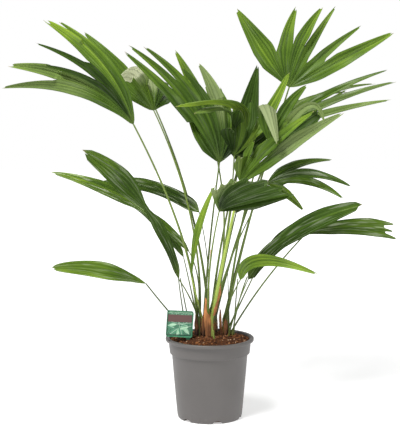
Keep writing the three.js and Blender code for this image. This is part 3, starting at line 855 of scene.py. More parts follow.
class Sheet:
    """A sheet of triangles that gets an upper side, an under side and a thin rim."""

    FOLDS = (0.3, 0.5)

    def __init__(self, mesh, thickness):
        self.mesh = mesh
        self.thickness = thickness
        self.points, self.uvs, self.facts, self.triangles = [], [], [], []

    def point(self, place, uv, shade, share):
        self.points.append(Vector(place))
        self.uvs.append(uv)
        self.facts.append((*shade, share))
        return len(self.points) - 1

    def triangle(self, a, b, c, way):
        self.triangles.append((a, b, c) if way > 0 else (a, c, b))

    def strip(self, low, high, way):
        """The band between two rows that run from the rib outwards."""
        if len(high) == 1:
            for a, b in zip(low, low[1:]):
                self.triangle(a, b, high[0], way)
            return
        for a, b, c, d in zip(low, low[1:], high, high[1:]):
            self.triangle(a, b, d, way)
            self.triangle(a, d, c, way)

    def fan(self, apex, row, way):
        for a, b in zip(row, row[1:]):
            self.triangle(apex, b, a, way)

    def sage_and_sheen(self, pale, share, upper):
        """How much of the underside colour a point has beneath, and how much painted sheen the
        upper side of a folded leaf shows.
        """
        lift = max(0.0, pale - 1)
        return lift * smoothstep(share, *self.FOLDS) if upper else max(lift, min(pale, 1.0))

    def close(self):
        normals = [Vector() for _ in self.points]
        edges = set()
        for corners in self.triangles:
            a, b, c = (self.points[i] for i in corners)
            area = (b - a).cross(c - a)
            for i in corners:
                normals[i] += area
            edges.update(zip(corners, (*corners[1:], corners[0])))
        sides = []
        for offset in (0.5, -0.5):
            side = []
            for i, point in enumerate(self.points):
                place = point + normals[i].normalized() * self.thickness * offset
                tone, pale, share = self.facts[i]
                sage_and_sheen = self.sage_and_sheen(pale, share, offset > 0)
                side.append(
                    self.mesh.point(place, self.uvs[i], tone=tone, share=share, sage_and_sheen=sage_and_sheen)
                )
            sides.append(side)
        top, under = sides
        for a, b, c in self.triangles:
            self.mesh.faces.append((top[a], top[b], top[c]))
            self.mesh.faces.append((under[a], under[c], under[b]))
        for a, b in sorted(edges):
            if (b, a) not in edges:
                self.mesh.faces.append((top[b], top[a], under[a], under[b]))


# ---------------------------------------------------------------- materials


def leaf_look(colours):
    """Waxy pleated leaf: deep to bright by its tone, greyish green beneath, dry at the very tips,
    with much of its light and shade painted.
    """
    look = Look("waxy_leaf")
    across, along = look.map()
    tone, share, sage_and_sheen = look.own("tone"), look.own("share"), look.own("sage_and_sheen")
    gleam = look.own("gleam")
    streak = look.noise(look.vector(across * 1.1, along * 0.3, tone * 30), 1.0, 2.0, 0.5)
    sheen = look.noise(look.vector(across * 1.8, along * 1.6, tone * 50), 1.0, 2.0, 0.5)
    blotch = look.noise(look.place(), 13.0, 2.0)
    # Painted shade darkens the pleat creases, above and beneath, and a painted highlight lightens
    # their ridges, whose height is also the bump.
    fold = abs(across.fraction() - 0.5) * 2
    crease, ridge_and_highlight = fold.step(0.62, 1.0), fold.step(0.35, 0.0)
    # The level is the tone, which also paints each segment's light or shade in the crown, with
    # random streaks and blotches, and it is lighter towards the tips.
    level = tone + (streak - 0.5) * 0.6 + (blotch - 0.5) * 0.6 + (share - 0.5) * 0.3
    level = level + ridge_and_highlight * 0.09 - crease * 0.12
    colour = look.ramp(
        level, (0, colours.deep), (0.4, colours.middle), (0.72, colours.fresh), (1, colours.bright)
    )
    colour = look.blend(share.step(0.14, 0.0) * 0.35, colour, colours.heart)
    # Beneath, the underside colour; above 1, the painted sheen of folded leaves, up to a pale
    # painted highlight.
    pale = look.blend(sage_and_sheen.step(1.0, 1.3), colours.sage_and_sheen, colours.folded_sheen)
    beneath = look.blend(crease * 0.3 + streak * 0.25, pale, colours.middle)
    colour = look.blend(sage_and_sheen * 0.85, colour, beneath)
    # Painted gloss highlights: whitish streaks in the base colour, where the coat lies too.
    glossy = sheen.step(0.5, 0.66) * gleam * sage_and_sheen.step(1.0, 0.0)
    colour = look.blend(glossy * 0.5, colour, colours.gloss)
    dry = (share + (streak - 0.5) * 0.04).step(0.975, 0.998)
    colour = look.blend(dry * 0.75, colour, colours.dry)
    return look.set(
        Base_Color=colour,
        Roughness=0.42 + sage_and_sheen * 0.15,
        Specular_IOR_Level=0.06,
        Coat_Weight=glossy,
        Coat_Roughness=0.3,
        Normal=look.bump(ridge_and_highlight, 0.0003, 0.4),
    )


def stalk_look(colours):
    """Smooth leaf stalk with fine ribs, straw coloured at its foot, in painted shade low down."""
    look = Look("leaf_stalk")
    across, along = look.map()
    tone, share = look.own("tone"), look.own("share")
    ribs = look.noise(look.vector(across * 9.0, along * 0.6, tone * 20), 1.0, 3.0)
    colour = look.ramp(
        tone + (ribs - 0.5) * 0.35,
        (0, colours.stalk_dark),
        (0.5, colours.stalk_olive),
        (1, colours.stalk_bright),
    )
    # Painted shade on the stalks low in the crown.
    shaded = look.parts(look.place())[2].step(0.3, 0.18)
    colour = look.blend(shaded * 0.45, colour, colours.stalk_dark)
    straw = (share + (ribs - 0.5) * 0.1).step(0.16, 0.0)
    colour = look.blend(straw * 0.3, colour, colours.straw)
    colour = look.blend(tone.step(1.1, 1.2), colour, colours.husk_orange)
    return look.set(
        Base_Color=colour,
        Roughness=0.36 + ribs * 0.16,
        Specular_IOR_Level=0.3,
        Normal=look.bump(ribs, 0.0004, 0.6),
    )


def husk_look(colours):
    """Matted fibre of the old leaf sheaths, from dark at the soil to orange above."""
    look = Look("sheath_fibre")
    across, along = look.map()
    tone = look.own("tone")
    strands = look.noise(look.vector(across * 28.0, along * 3.0, tone * 9), 1.0, 3.0, 0.6)
    blotch = look.noise(look.place(), 60.0, 3.0)
    level = tone + (strands - 0.5) * 1.1 + (blotch - 0.5) * 0.9
    colour = look.ramp(
        level, (0, colours.husk_dark), (0.5, colours.husk_brown), (1, colours.husk_orange)
    )
    return look.set(Base_Color=colour, Roughness=0.8, Normal=look.bump(strands, 0.0012, 0.9))


def soil_look(colours):
    """Moist potting mix of peat and fine bark."""
    look = Look("potting_mix")
    place = look.place()
    coarse = look.noise(place, 170.0, 4.0, 0.7)
    fine = look.noise(place, 900.0, 3.0, 0.6)
    colour = look.ramp(
        coarse * 0.7 + fine * 0.4, (0.3, colours.peat), (0.62, colours.bark), (0.9, colours.chip)
    )
    return look.set(
        Base_Color=colour,
        Roughness=0.75 + fine * 0.2,
        Specular_IOR_Level=0.2,
        Normal=look.bump(coarse + fine * 0.5, 0.004, 1.0),
    )


def crumb_look(colours):
    """Loose chips of bark, from dark peat to pale wood, by each chip's own tone."""
    look = Look("bark_crumbs")
    tone = look.own("tone")
    grain = look.noise(look.place(), 700.0, 3.0, 0.6)
    colour = look.ramp(
        tone + (grain - 0.5) * 0.2,
        (0, colours.peat),
        (0.35, colours.bark),
        (0.7, colours.chip),
        (1, colours.pale_chip),
    )
    return look.set(
        Base_Color=colour,
        Roughness=0.6 + grain * 0.3,
        Specular_IOR_Level=0.2,
        Normal=look.bump(grain, 0.0008, 0.8),
    )


def pot_look(colours):
    """Moulded satin polypropylene, a little scuffed all over and more at its foot."""
    look = Look("moulded_plastic")
    place = look.place()
    cloud = look.noise(place, 9.0, 3.0, 0.6)
    grain = look.noise(place, 1500.0, 2.0)
    side, depth, height = look.parts(place)
    scuffs = look.noise(look.vector(side, depth, height * 6.0), 60.0, 5.0, 0.7)
    foot = height.step(0.05, 0.0)
    worn = scuffs.step(0.62, 0.74) * (0.15 + foot * 0.5)
    colour = look.blend(cloud.step(0.3, 0.7), colours.pot_shade, colours.pot_light)
    colour = look.blend(worn * 0.5, colour, colours.pot_scuff)
    return look.set(
        Base_Color=colour,
        Roughness=0.4 + cloud * 0.12 + worn * 0.2,
        Normal=look.bump(grain + scuffs * 0.3, 0.00012, 0.5),
    )


# The card's printed leaves: foot across and up, bearing in degrees, length and half width.

LEAF_MOTIFS = (
    (0.16, 0.10, 38, 0.36, 0.075), (0.40, 0.04, 64, 0.40, 0.070), (0.62, 0.06, 108, 0.38, 0.080),
    (0.88, 0.12, 132, 0.38, 0.070), (0.30, 0.34, 160, 0.30, 0.060), (0.52, 0.30, 18, 0.34, 0.065),
    (0.80, 0.44, 168, 0.30, 0.060), (0.10, 0.44, 8, 0.28, 0.055),
)


def label_look(colours):
    """Printed card: a plain maroon band over overlapping green leaves."""
    look = Look("printed_card")
    across, up = look.map()
    speck = look.noise(look.vector(across, up), 26.0, 2.0)
    colour = look.blend(speck.step(0.35, 0.65), colours.print_deep, colours.print_green)
    for i, (x, y, degrees, length, width) in enumerate(LEAF_MOTIFS):
        turn = math.radians(degrees)
        run = (across - x) * math.cos(turn) + (up - y) * math.sin(turn)
        off = (up - y) * math.cos(turn) - (across - x) * math.sin(turn)
        share = run.math("DIVIDE", length)
        bulge = (share * (1 - share)).math("MAXIMUM", 0.0) * 4 * width
        inside = (abs(off) - bulge).step(0.012, -0.004) * share.step(0.0, 0.02)
        vein = abs(off).step(0.009, 0.003)
        tint = colours.print_pale if i % 2 else colours.print_green
        leaf = look.blend(vein * 0.7, tint, colours.print_cream)
        colour = look.blend(inside, colour, leaf)
    foot = up.step(0.1, 0.085)
    colour = look.blend(foot * 0.8, colour, colours.print_deep)
    band = up.step(0.565, 0.575) * up.step(0.855, 0.845)
    colour = look.blend(band, colour, colours.print_maroon)
    fringe = (up + (speck - 0.5) * 0.3).step(0.88, 0.94)
    colour = look.blend(fringe, colour, colours.print_pale)
    border = across.step(0.965, 0.98)
    colour = look.blend(border * 0.6, colour, colours.print_cream)
    return look.set(Base_Color=colour, Roughness=0.3 + speck * 0.05, Coat_Weight=0.2)


def edge_look(colours):
    """The cut edge of the card and its stake: green board, a little mottled."""
    look = Look("card_edge")
    mottle = look.noise(look.place(), 320.0, 3.0)
    colour = look.blend(mottle.step(0.35, 0.7) * 0.4, colours.print_green, colours.print_deep)
    return look.set(Base_Color=colour, Roughness=0.34 + mottle * 0.14)


# ---------------------------------------------------------------- sizes and colours


def size_of(label, text, default):
    return FloatProperty(
        name=label, description=text, default=default, min=0.0, unit="LENGTH", precision=5
    )


def share_of(label, text, default):
    return FloatProperty(name=label, description=text, default=default, min=0.0, subtype="FACTOR")


def power_of(label, text, default):
    return FloatProperty(name=label, description=text, default=default, min=0.0, unit="POWER")


def count_of(label, text, default, least):
    return IntProperty(name=label, description=text, default=default, min=least)


def colour_of(label, text, default):
    return FloatVectorProperty(
        name=label, description=text, default=default, subtype="COLOR", size=3, min=0, max=1
    )


class PalmSizes(bpy.types.PropertyGroup):
    """Sizes that shape the plant and its pot"""

    pot_height: size_of("Pot height", "From the pot's foot to the top of its rim", POT_TOP.z)
    rim_radius: size_of("Rim radius", "Outside the pot's rim", POT_TOP.x)
    pot_wall: size_of("Pot wall", "Thickness of the pot's wall", 0.0018)
    pot_sides: count_of("Pot sides", "Facets round the pot", 96, 12)
    leaf_thickness: size_of("Leaf thickness", "Thickness of a blade", 0.0006)
    pleat_width: size_of("Pleat width", "From one crease of a blade to the next", 0.0085)
    pleat_depth: share_of("Pleat depth", "Depth of a pleat against its width", 0.15)
    keel: share_of("Keel", "Depth of a segment's fold against its half width", 0.22)
    tip_share: share_of("Tip width", "Width of a forked tip against its segment", 0.07)
    free_rows: count_of("Free rows", "Rows along a free segment", 16, 4)
    crumb_count: count_of("Chips", "Loose chips on the soil", 1500, 0)


class PalmColours(bpy.types.PropertyGroup):
    """Colours of the leaves, stalks, soil, pot and label"""

    # The deep leaf is partly painted shade: the leaves in the middle of the crown.
    deep: colour_of("Deep leaf", "Leaf in the middle of the crown", (0.009, 0.022, 0.003))
    middle: colour_of("Leaf", "Most of the leaves", (0.040, 0.080, 0.010))
    fresh: colour_of("Fresh leaf", "Leaves in full growth", (0.095, 0.165, 0.018))
    bright: colour_of("Young leaf", "Young leaves and lit tips", (0.230, 0.340, 0.030))
    heart: colour_of("Leaf heart", "Where the segments meet", (0.150, 0.220, 0.045))
    # Also painted as sheen on the upper side of folded leaves.
    sage_and_sheen: colour_of("Leaf underside", "Matt underside of the leaves", (0.270, 0.310, 0.160))
    # Painted highlight: the pale sheen of folded leaves, made bright enough to show in their
    # shade.
    folded_sheen: colour_of("Folded leaf", "Bloom on the folded pale leaves", (0.760, 0.790, 0.520))
    # Painted highlight of the gloss streaks.
    gloss: colour_of("Leaf gloss", "Waxy streaks that catch the light", (0.520, 0.580, 0.400))
    dry: colour_of("Dry tip", "The last millimetres of a tip", (0.330, 0.250, 0.150))
    stalk_dark: colour_of("Dark stalk", "Stalks in the shade", (0.030, 0.055, 0.012))
    stalk_olive: colour_of("Olive stalk", "Most of the stalks", (0.115, 0.170, 0.030))
    stalk_bright: colour_of("Bright stalk", "Young stalks", (0.400, 0.520, 0.090))
    straw: colour_of("Stalk foot", "Where a stalk leaves its sheath", (0.300, 0.260, 0.080))
    husk_dark: colour_of("Old sheath", "Sheath at the soil", (0.030, 0.012, 0.006))
    husk_brown: colour_of("Sheath", "Most of the sheath", (0.200, 0.075, 0.022))
    husk_orange: colour_of("Young sheath", "Fresh sheath fibre", (0.520, 0.210, 0.065))
    peat: colour_of("Peat", "The darkest of the soil", (0.016, 0.007, 0.004))
    bark: colour_of("Bark", "Most of the soil", (0.095, 0.033, 0.012))
    chip: colour_of("Chip", "Reddish chips of bark", (0.270, 0.105, 0.035))
    pale_chip: colour_of("Pale chip", "Pale chips of wood", (0.620, 0.420, 0.260))
    pot_light: colour_of("Pot", "The pot's plastic", (0.104, 0.096, 0.092))
    pot_shade: colour_of("Pot, darker", "Darker clouds in the plastic", (0.093, 0.086, 0.082))
    pot_scuff: colour_of("Pot scuffs", "Rubbed plastic", (0.300, 0.290, 0.270))
    print_maroon: colour_of("Label band", "The label's plain band", (0.085, 0.030, 0.024))
    print_deep: colour_of("Label shade", "Between the printed leaves", (0.010, 0.060, 0.030))
    print_green: colour_of("Label leaf", "Printed leaves", (0.050, 0.230, 0.120))
    print_pale: colour_of("Label pale leaf", "Pale printed leaves", (0.280, 0.520, 0.330))
    print_cream: colour_of("Label edge", "Veins and the card's edge", (0.700, 0.760, 0.640))


class PalmStage(bpy.types.PropertyGroup):
    """Floor and light around the plant"""

    floor: colour_of("Floor", "Plain pale floor", (0.8, 0.8, 0.8))
    floor_glow: share_of("Floor glow", "Light of the floor itself around the plant", 0.5)
    sky: share_of("Ceiling light", "Strength of the light from overhead", 0.3)
    key_power: power_of("Key light", "Power of the main panel", 125)
    fill_power: power_of("Fill light", "Power of the side and back panels", 12)


# ---------------------------------------------------------------- pot, soil and label


# The soil, in millimetres: its height at the wall, where its mound falls off to that, its
# clods, each as width, seed and height, where they fade in from the wall, how far the mix lies
# below its mound, and how far out the chips lie.

SOIL_EDGE = 170.5
MOUND = (44, 86)
CLODS = ((17, 3, 2.2), (6, 8, 1.3), (2.6, 12, 0.7))
CLODS_FADE = (88, 80)
SUNK = 0.6
CHIPS_REACH = 84.5


class Maker:
    """What the operators have in common."""

    bl_options = {"REGISTER", "UNDO"}


def soil_height(x, y):
    """The top of the soil in millimetres: a low mound with clods."""
    away = math.hypot(x, y)
    mound = lerp(SOIL_TOP, SOIL_EDGE, smoothstep(away, *MOUND))
    clods = sum(
        noise.noise(Vector((x / width, y / width, seed))) * height for width, seed, height in CLODS
    )
    return mound + clods * smoothstep(away, *CLODS_FADE) - SUNK


class PALM_OT_pot(Maker, bpy.types.Operator):
    """Turn the pot with its collar and rolled rim, and cut the drain notches"""

    bl_idname = "palm.pot"
    bl_label = "Pot"

    DRAINS = 6
    DRAIN_TURN = 104
    DRAIN_RING = 66.5
    DRAIN_SIZE = (11, 7)
    DRAIN_DEPTH = 24
    SHARP = 28

    def execute(self, context):
        sizes = context.scene.palm_sizes
        top = sizes.pot_height / MM
        rim = sizes.rim_radius / MM
        wall = sizes.pot_wall / MM
        # Both walls as radius and height, the outer one up and the inner one down.
        outer = (
            (62, 0.6), (64.6, 0), (67.2, 0.5), (68.5, 2), (69.3, 4.5), (70.1, 8), (76.2, 76),
            (81.6, top - 35.5), (82.2, top - 34), (85, top - 33.6), (86, top - 33),
            (86.3, top - 31), (88.5, top - 8.4), (89, top - 7.7), (93.2, top - 7.5),
            (rim - 0.9, top - 6.9), (rim - 0.2, top - 5.4), (rim, top - 3),
            (rim - 0.3, top - 1.3), (rim - 1.2, top - 0.3), (rim - 2.6, top),
        )
        inner = (
            (88.9, top), (87.2, top - 0.8), (86.6, top - 3), (86.3 - wall * 0.2, top - 9),
            (84.5, top - 31), (81.8 - wall, top - 35), (76.2 - wall, 76), (70.1 - wall, 8),
            (64, 2.6), (60, 2.2),
        )
        pot = turn_rings("nursery_pot", (*outer, *inner), sizes.pot_sides)
        smooth(pot, self.SHARP)
        radius, height = self.DRAIN_SIZE
        for i in range(self.DRAINS):
            bearing = math.radians(self.DRAIN_TURN + 360 / self.DRAINS * i)
            clear_selection()
            bpy.ops.mesh.primitive_cylinder_add(
                vertices=32,
                radius=radius * MM,
                depth=self.DRAIN_DEPTH * MM,
                location=around(0, 0, bearing, self.DRAIN_RING * MM),
                rotation=(math.pi / 2, 0, bearing + math.pi / 2),
            )
            cutter = context.object
            cutter.scale.y = height / radius
            settle(cutter)
            apply_modifier(pot, "BOOLEAN", operation="DIFFERENCE", object=cutter, solver="EXACT")
            bpy.data.objects.remove(cutter)
        smooth(pot, self.SHARP)
        pot.data.materials.clear()
        pot.data.materials.append(pot_look(context.scene.palm_colours))
        belong(pot, "pot", "pot")
        return {"FINISHED"}


class PALM_OT_soil(Maker, bpy.types.Operator):
    """Fill the pot with a low uneven mound of potting mix"""

    bl_idname = "palm.soil"
    bl_label = "Soil"

    SIDE = ((63, 3), (68, 8), (79.4, 141), (84.2, 145), (85.8, 168), (85.9, 170))
    TOP = (84.0, 172)
    UNEVEN_ABOVE = 169
    FACETS = 160
    PITCH, INNER_PITCH, INNER = 1.2, 0.9, 12

    def execute(self, context):
        profile = list(self.SIDE)
        radius, height = self.TOP
        while radius > 1:
            profile.append((radius, height))
            radius -= self.PITCH if radius > self.INNER else self.INNER_PITCH
        soil = turn_rings("potting_mix", profile, self.FACETS)
        for vertex in soil.data.vertices:
            x, y, z = vertex.co / MM
            if z > self.UNEVEN_ABOVE:
                vertex.co.z = soil_height(x, y) * MM
        smooth(soil, 60)
        soil.data.materials.append(soil_look(context.scene.palm_colours))
        belong(soil, "soil", "soil")
        return {"FINISHED"}


def lump(dice, size):
    """An irregular chip: an eight cornered block with its corners pushed about."""
    corners = []
    for x in (-1, 1):
        for y in (-1, 1):
            for z in (-1, 1):
                corners.append(Vector([c * dice.uniform(0.55, 1.0) for c in (x, y, z)]))
    stretch = Vector((size, size * dice.uniform(0.5, 0.8), size * dice.uniform(0.25, 0.55)))
    turn = Matrix.Rotation(dice.uniform(0, math.tau), 3, "Z")
    turn @= Matrix.Rotation(dice.uniform(-0.6, 0.6), 3, "X")
    return [turn @ (corner * stretch) for corner in corners]


# The six faces of such a block.

BLOCK = (
    (0, 1, 3, 2), (4, 6, 7, 5), (0, 4, 5, 1), (2, 3, 7, 6), (0, 2, 6, 4), (1, 5, 7, 3),
)


class PALM_OT_chips(Maker, bpy.types.Operator):
    """Scatter loose bark chips over the soil"""

    bl_idname = "palm.chips"
    bl_label = "Bark chips"

    GRADES = (0.8, 1.1, 1.5, 2.2, 3.4)
    PALE_SHARE = 0.09
    PALE_MOST = 2.6

    def execute(self, context):
        dice = random.Random(11)
        mesh = Mesh(tone=0.5)
        for _ in range(context.scene.palm_sizes.crumb_count):
            away = CHIPS_REACH * math.sqrt(dice.random())
            bearing = dice.uniform(0, math.tau)
            size = dice.choice(self.GRADES) * dice.uniform(0.7, 1.2)
            away = min(away, CHIPS_REACH - size)
            x, y = away * math.cos(bearing), away * math.sin(bearing)
            z = soil_height(x, y) + size * 0.15
            pale = dice.random() < self.PALE_SHARE and size < self.PALE_MOST
            tone = dice.uniform(0.86, 1.0) if pale else dice.uniform(0.1, 0.74)
            first = len(mesh.points)
            for corner in lump(dice, size):
                mesh.point(Vector((x, y, z)) + corner, tone=tone)
            mesh.faces.extend(tuple(first + i for i in face) for face in BLOCK)
        chips = mesh.make("bark_chips", crumb_look(context.scene.palm_colours))
        select_only(chips)
        bpy.ops.object.mode_set(mode="EDIT")
        face_outwards()
        belong(chips, "soil")
        return {"FINISHED"}


class PALM_OT_label(Maker, bpy.types.Operator):
    """Make the printed card on its stake and push it into the soil"""

    bl_idname = "palm.label"
    bl_label = "Plant label"

    WIDTH, HEIGHT, THICKNESS = 56, 56, 1.2
    FOOT = Vector((-66, -40, 183.5))
    CORNER = 4
    STAKE_WIDTH, STAKE_THICKNESS, STAKE_AT = 9, 1, 20
    STAKE_DEPTH, STAKE_LAP, STAKE_POINT = 58, 8, 0.25
    LEAN, TURN = 4, 6

    def execute(self, context):
        card = block(
            "plant_card", (0, 0, self.HEIGHT / 2), (self.WIDTH, self.THICKNESS, self.HEIGHT)
        )
        self.bevel_corners(card)
        stake = block(
            "plant_stake",
            (self.STAKE_AT, self.THICKNESS / 2, (self.STAKE_LAP - self.STAKE_DEPTH) / 2),
            (self.STAKE_WIDTH, self.STAKE_THICKNESS, self.STAKE_LAP + self.STAKE_DEPTH),
        )
        for vertex in stake.data.vertices:
            if vertex.co.z < 0:
                vertex.co.x = lerp(self.STAKE_AT * MM, vertex.co.x, self.STAKE_POINT)
        self.dress(card, stake, context.scene.palm_colours)
        self.join(card, stake)
        belong(card, "plant_label", "plant_label")
        return {"FINISHED"}

    def bevel_corners(self, card):
        select_only(card)
        bpy.ops.object.mode_set(mode="EDIT")
        bpy.ops.mesh.select_all(action="DESELECT")
        bpy.ops.object.mode_set(mode="OBJECT")
        for edge in card.data.edges:
            a, b = (card.data.vertices[i].co for i in edge.vertices)
            edge.select = abs(a.y - b.y) > self.THICKNESS / 2 * MM
        bpy.ops.object.mode_set(mode="EDIT")
        bpy.ops.mesh.select_mode(type="EDGE")
        bpy.ops.mesh.bevel(offset=self.CORNER * MM, segments=6)
        bpy.ops.object.mode_set(mode="OBJECT")

    def dress(self, card, stake, colours):
        for piece in (card, stake):
            layer = piece.data.uv_layers["UVMap"]
            for loop in piece.data.loops:
                x, _, z = piece.data.vertices[loop.vertex_index].co / MM
                layer.uv[loop.index].vector = (x / self.WIDTH + 0.5, z / self.HEIGHT)
        plain = edge_look(colours)
        card.data.materials.append(label_look(colours))
        card.data.materials.append(plain)
        stake.data.materials.append(plain)
        for face in card.data.polygons:
            face.material_index = 0 if face.normal.y < -0.5 else 1

    def join(self, card, stake):
        select_only(card)
        stake.select_set(True)
        bpy.ops.object.join()
        card.rotation_euler = (0, math.radians(self.LEAN), math.radians(self.TURN))
        card.location = self.FOOT * MM
        settle(card)


# ---------------------------------------------------------------- stems and stalks


def stem_point(stem, bearing, height, out=0.0):
    """A point on a stem's skin, or out from it."""
    share = smoothstep(height, SOIL_TOP - 8, STEM_TOP)
    radius = lerp(stem["foot"], stem["top"], share) + out
    return around(stem["x"], stem["y"], bearing, radius, height)


def stalk_foot(frond):
    """Where a frond's stalk leaves the soil or its stem."""
    if "soil" in frond:
        return Vector((*frond["soil"], SOIL_TOP + STALK_LIFT))
    stem = STEMS[frond["stem"]]
    ring = stem["top"] - STALK_INSET
    bearing = math.radians(frond["at"])
    return around(stem["x"], stem["y"], bearing, ring, STEM_TOP + STALK_LIFT)


# The dark tint is painted shade: the colour of stalks in the shade.
STALK_TONES = {"dark": 0.14, "olive": 0.38, "pale": 0.52, "bright": 0.92}


class PALM_OT_stems(Maker, bpy.types.Operator):
    """Wrap the four short stems in torn sheath fibre"""

    bl_idname = "palm.stems"
    bl_label = "Stems"

    CORE_SIDES = 24
    CORE_HEIGHTS = range(166, 218, 4)
    CORE_SHRINK = (-2.5, -7.5)
    FOLDS = 1.4
    FIBRES = 24
    FIBRE_RADII = (0.35, 0.33, 0.3, 0.25, 0.2, 0.1)
    COLUMNS, ROWS = 7, 10
    RAGGED, WOBBLE, CURL = 9, 2, 0.22
    TOP_WIDTH, FOOT_WIDTH = 0.45, 0.6
    MIDDLE_THICKNESS, EDGE_THINNER = 0.9, 0.5
    TONE_ACROSS, TONE_AT_FOOT = 0.12, 0.4
    MAP_WIDTH = 60

    def execute(self, context):
        material = husk_look(context.scene.palm_colours)
        for name, stem in STEMS.items():
            dice = random.Random(name)
            mesh = Mesh(tone=0.5)
            self.core(mesh, stem)
            for _ in range(stem["strips"]):
                self.low_strip(mesh, stem, dice)
            for strip in stem["torn"]:
                self.strip(mesh, *strip, dice)
            for _ in range(self.FIBRES):
                self.fibre(mesh, stem, dice)
            piece = mesh.make(f"{name}_sheath", material)
            smooth(piece, 50)
            belong(piece, "sheath", name)
        return {"FINISHED"}

    def core(self, mesh, stem):
        """The dark heart that the stalks stand round, widest at the soil."""
        rings = []
        for height in self.CORE_HEIGHTS:
            ring = []
            for k in range(self.CORE_SIDES):
                bearing = math.tau * k / self.CORE_SIDES
                folds = noise.noise(Vector((k * 0.9, height * 0.04, stem["x"]))) * self.FOLDS
                shrink = lerp(*self.CORE_SHRINK, smoothstep(height, SOIL_TOP, 206))
                place = stem_point(stem, bearing, height, shrink + folds)
                tone = lerp(0.05, stem["husk"] * 0.7, smoothstep(height, SOIL_TOP, 212))
                uv = (k / self.CORE_SIDES, height / UV_UNIT)
                ring.append(mesh.point(place, uv, tone=tone))
            rings.append(ring)
        mesh.close_rings(rings)

    def low_strip(self, mesh, stem, dice):
        """A short strip that hugs the foot of the stem."""
        bearing = dice.uniform(0, math.tau)
        high = SOIL_TOP + dice.uniform(8, 44) * (0.4 + stem["husk"])
        foot = stem_point(stem, bearing, SOIL_TOP - 5, dice.uniform(-2.5, -1))
        end = stem_point(stem, bearing + dice.uniform(-0.3, 0.3), high, dice.uniform(-2, 1.5))
        tone = stem["husk"] + dice.uniform(-0.3, 0.25)
        self.strip(mesh, foot, end, dice.uniform(3, 7), math.degrees(bearing), tone, dice)

    def strip(self, mesh, foot, end, width, bearing, tone, dice):
        """A torn strip of sheath, curled round its length, ragged at its top."""
        columns, rows = self.COLUMNS, self.ROWS
        foot, end = Vector(foot), Vector(end)
        outward = around(0, 0, math.radians(bearing), 1)
        across = outward.cross(UP)
        knee = (foot + end) / 2 + outward * dice.uniform(-0.5, 1.5)
        seed = dice.uniform(0, 50)
        grid = []
        for side in (0, 1):
            for i in range(rows):
                up = i / (rows - 1)
                narrow = lerp(1, self.TOP_WIDTH, smoothstep(up, 0.6, 1))
                narrow *= lerp(self.FOOT_WIDTH, 1, smoothstep(up, 0, 0.5))
                for k in range(columns):
                    away = k / (columns - 1) * 2 - 1
                    ragged = noise.noise(Vector((k * 2.3, seed, 1))) * self.RAGGED * up
                    wobble = noise.noise(Vector((up * 3, seed, 4))) * self.WOBBLE
                    thickness = self.MIDDLE_THICKNESS - self.EDGE_THINNER * abs(away)
                    curl = (1 - away * away) * width * self.CURL - side * thickness
                    place = bowed(foot, knee, end, up) + UP * ragged
                    place += across * (away * width / 2 * narrow + wobble) + outward * curl
                    shade = tone + self.TONE_ACROSS * away - self.TONE_AT_FOOT * (1 - up) ** 2
                    uv = (seed + away * width / self.MAP_WIDTH, place.z / UV_UNIT)
                    grid.append(mesh.point(place, uv, tone=shade))
        self.shell(mesh, grid)

    def shell(self, mesh, grid):
        """Joins two grids, the outer first, into one closed strip."""
        columns, rows = self.COLUMNS, self.ROWS
        half = columns * rows
        for i in range(rows - 1):
            for k in range(columns - 1):
                a = i * columns + k
                b, c, d = a + 1, a + columns + 1, a + columns
                mesh.faces.append(tuple(grid[j] for j in (d, c, b, a)))
                mesh.faces.append(tuple(grid[j + half] for j in (a, b, c, d)))
        rim = list(range(columns))
        rim += [i * columns + columns - 1 for i in range(1, rows)]
        rim += [(rows - 1) * columns + k for k in range(columns - 2, -1, -1)]
        rim += [i * columns for i in range(rows - 2, 0, -1)]
        for a, b in zip(rim, (*rim[1:], rim[0])):
            mesh.faces.append((grid[a], grid[b], grid[b + half], grid[a + half]))

    def fibre(self, mesh, stem, dice):
        """A loose hair of sheath."""
        bearing = dice.uniform(0, math.tau)
        low = dice.uniform(176, 196)
        high = low + dice.uniform(10, 30)
        drift = dice.uniform(-0.5, 0.5)
        foot = stem_point(stem, bearing, low, -1.5)
        knee = stem_point(stem, bearing + drift * 0.5, (low + high) / 2, 0.5)
        end = stem_point(stem, bearing + drift, high, dice.uniform(-1, 4))
        centres = bow(foot, knee, end, len(self.FIBRE_RADII) - 1)
        tube(mesh, centres, self.FIBRE_RADII, 4, tone=stem["husk"] + dice.uniform(-0.1, 0.4))


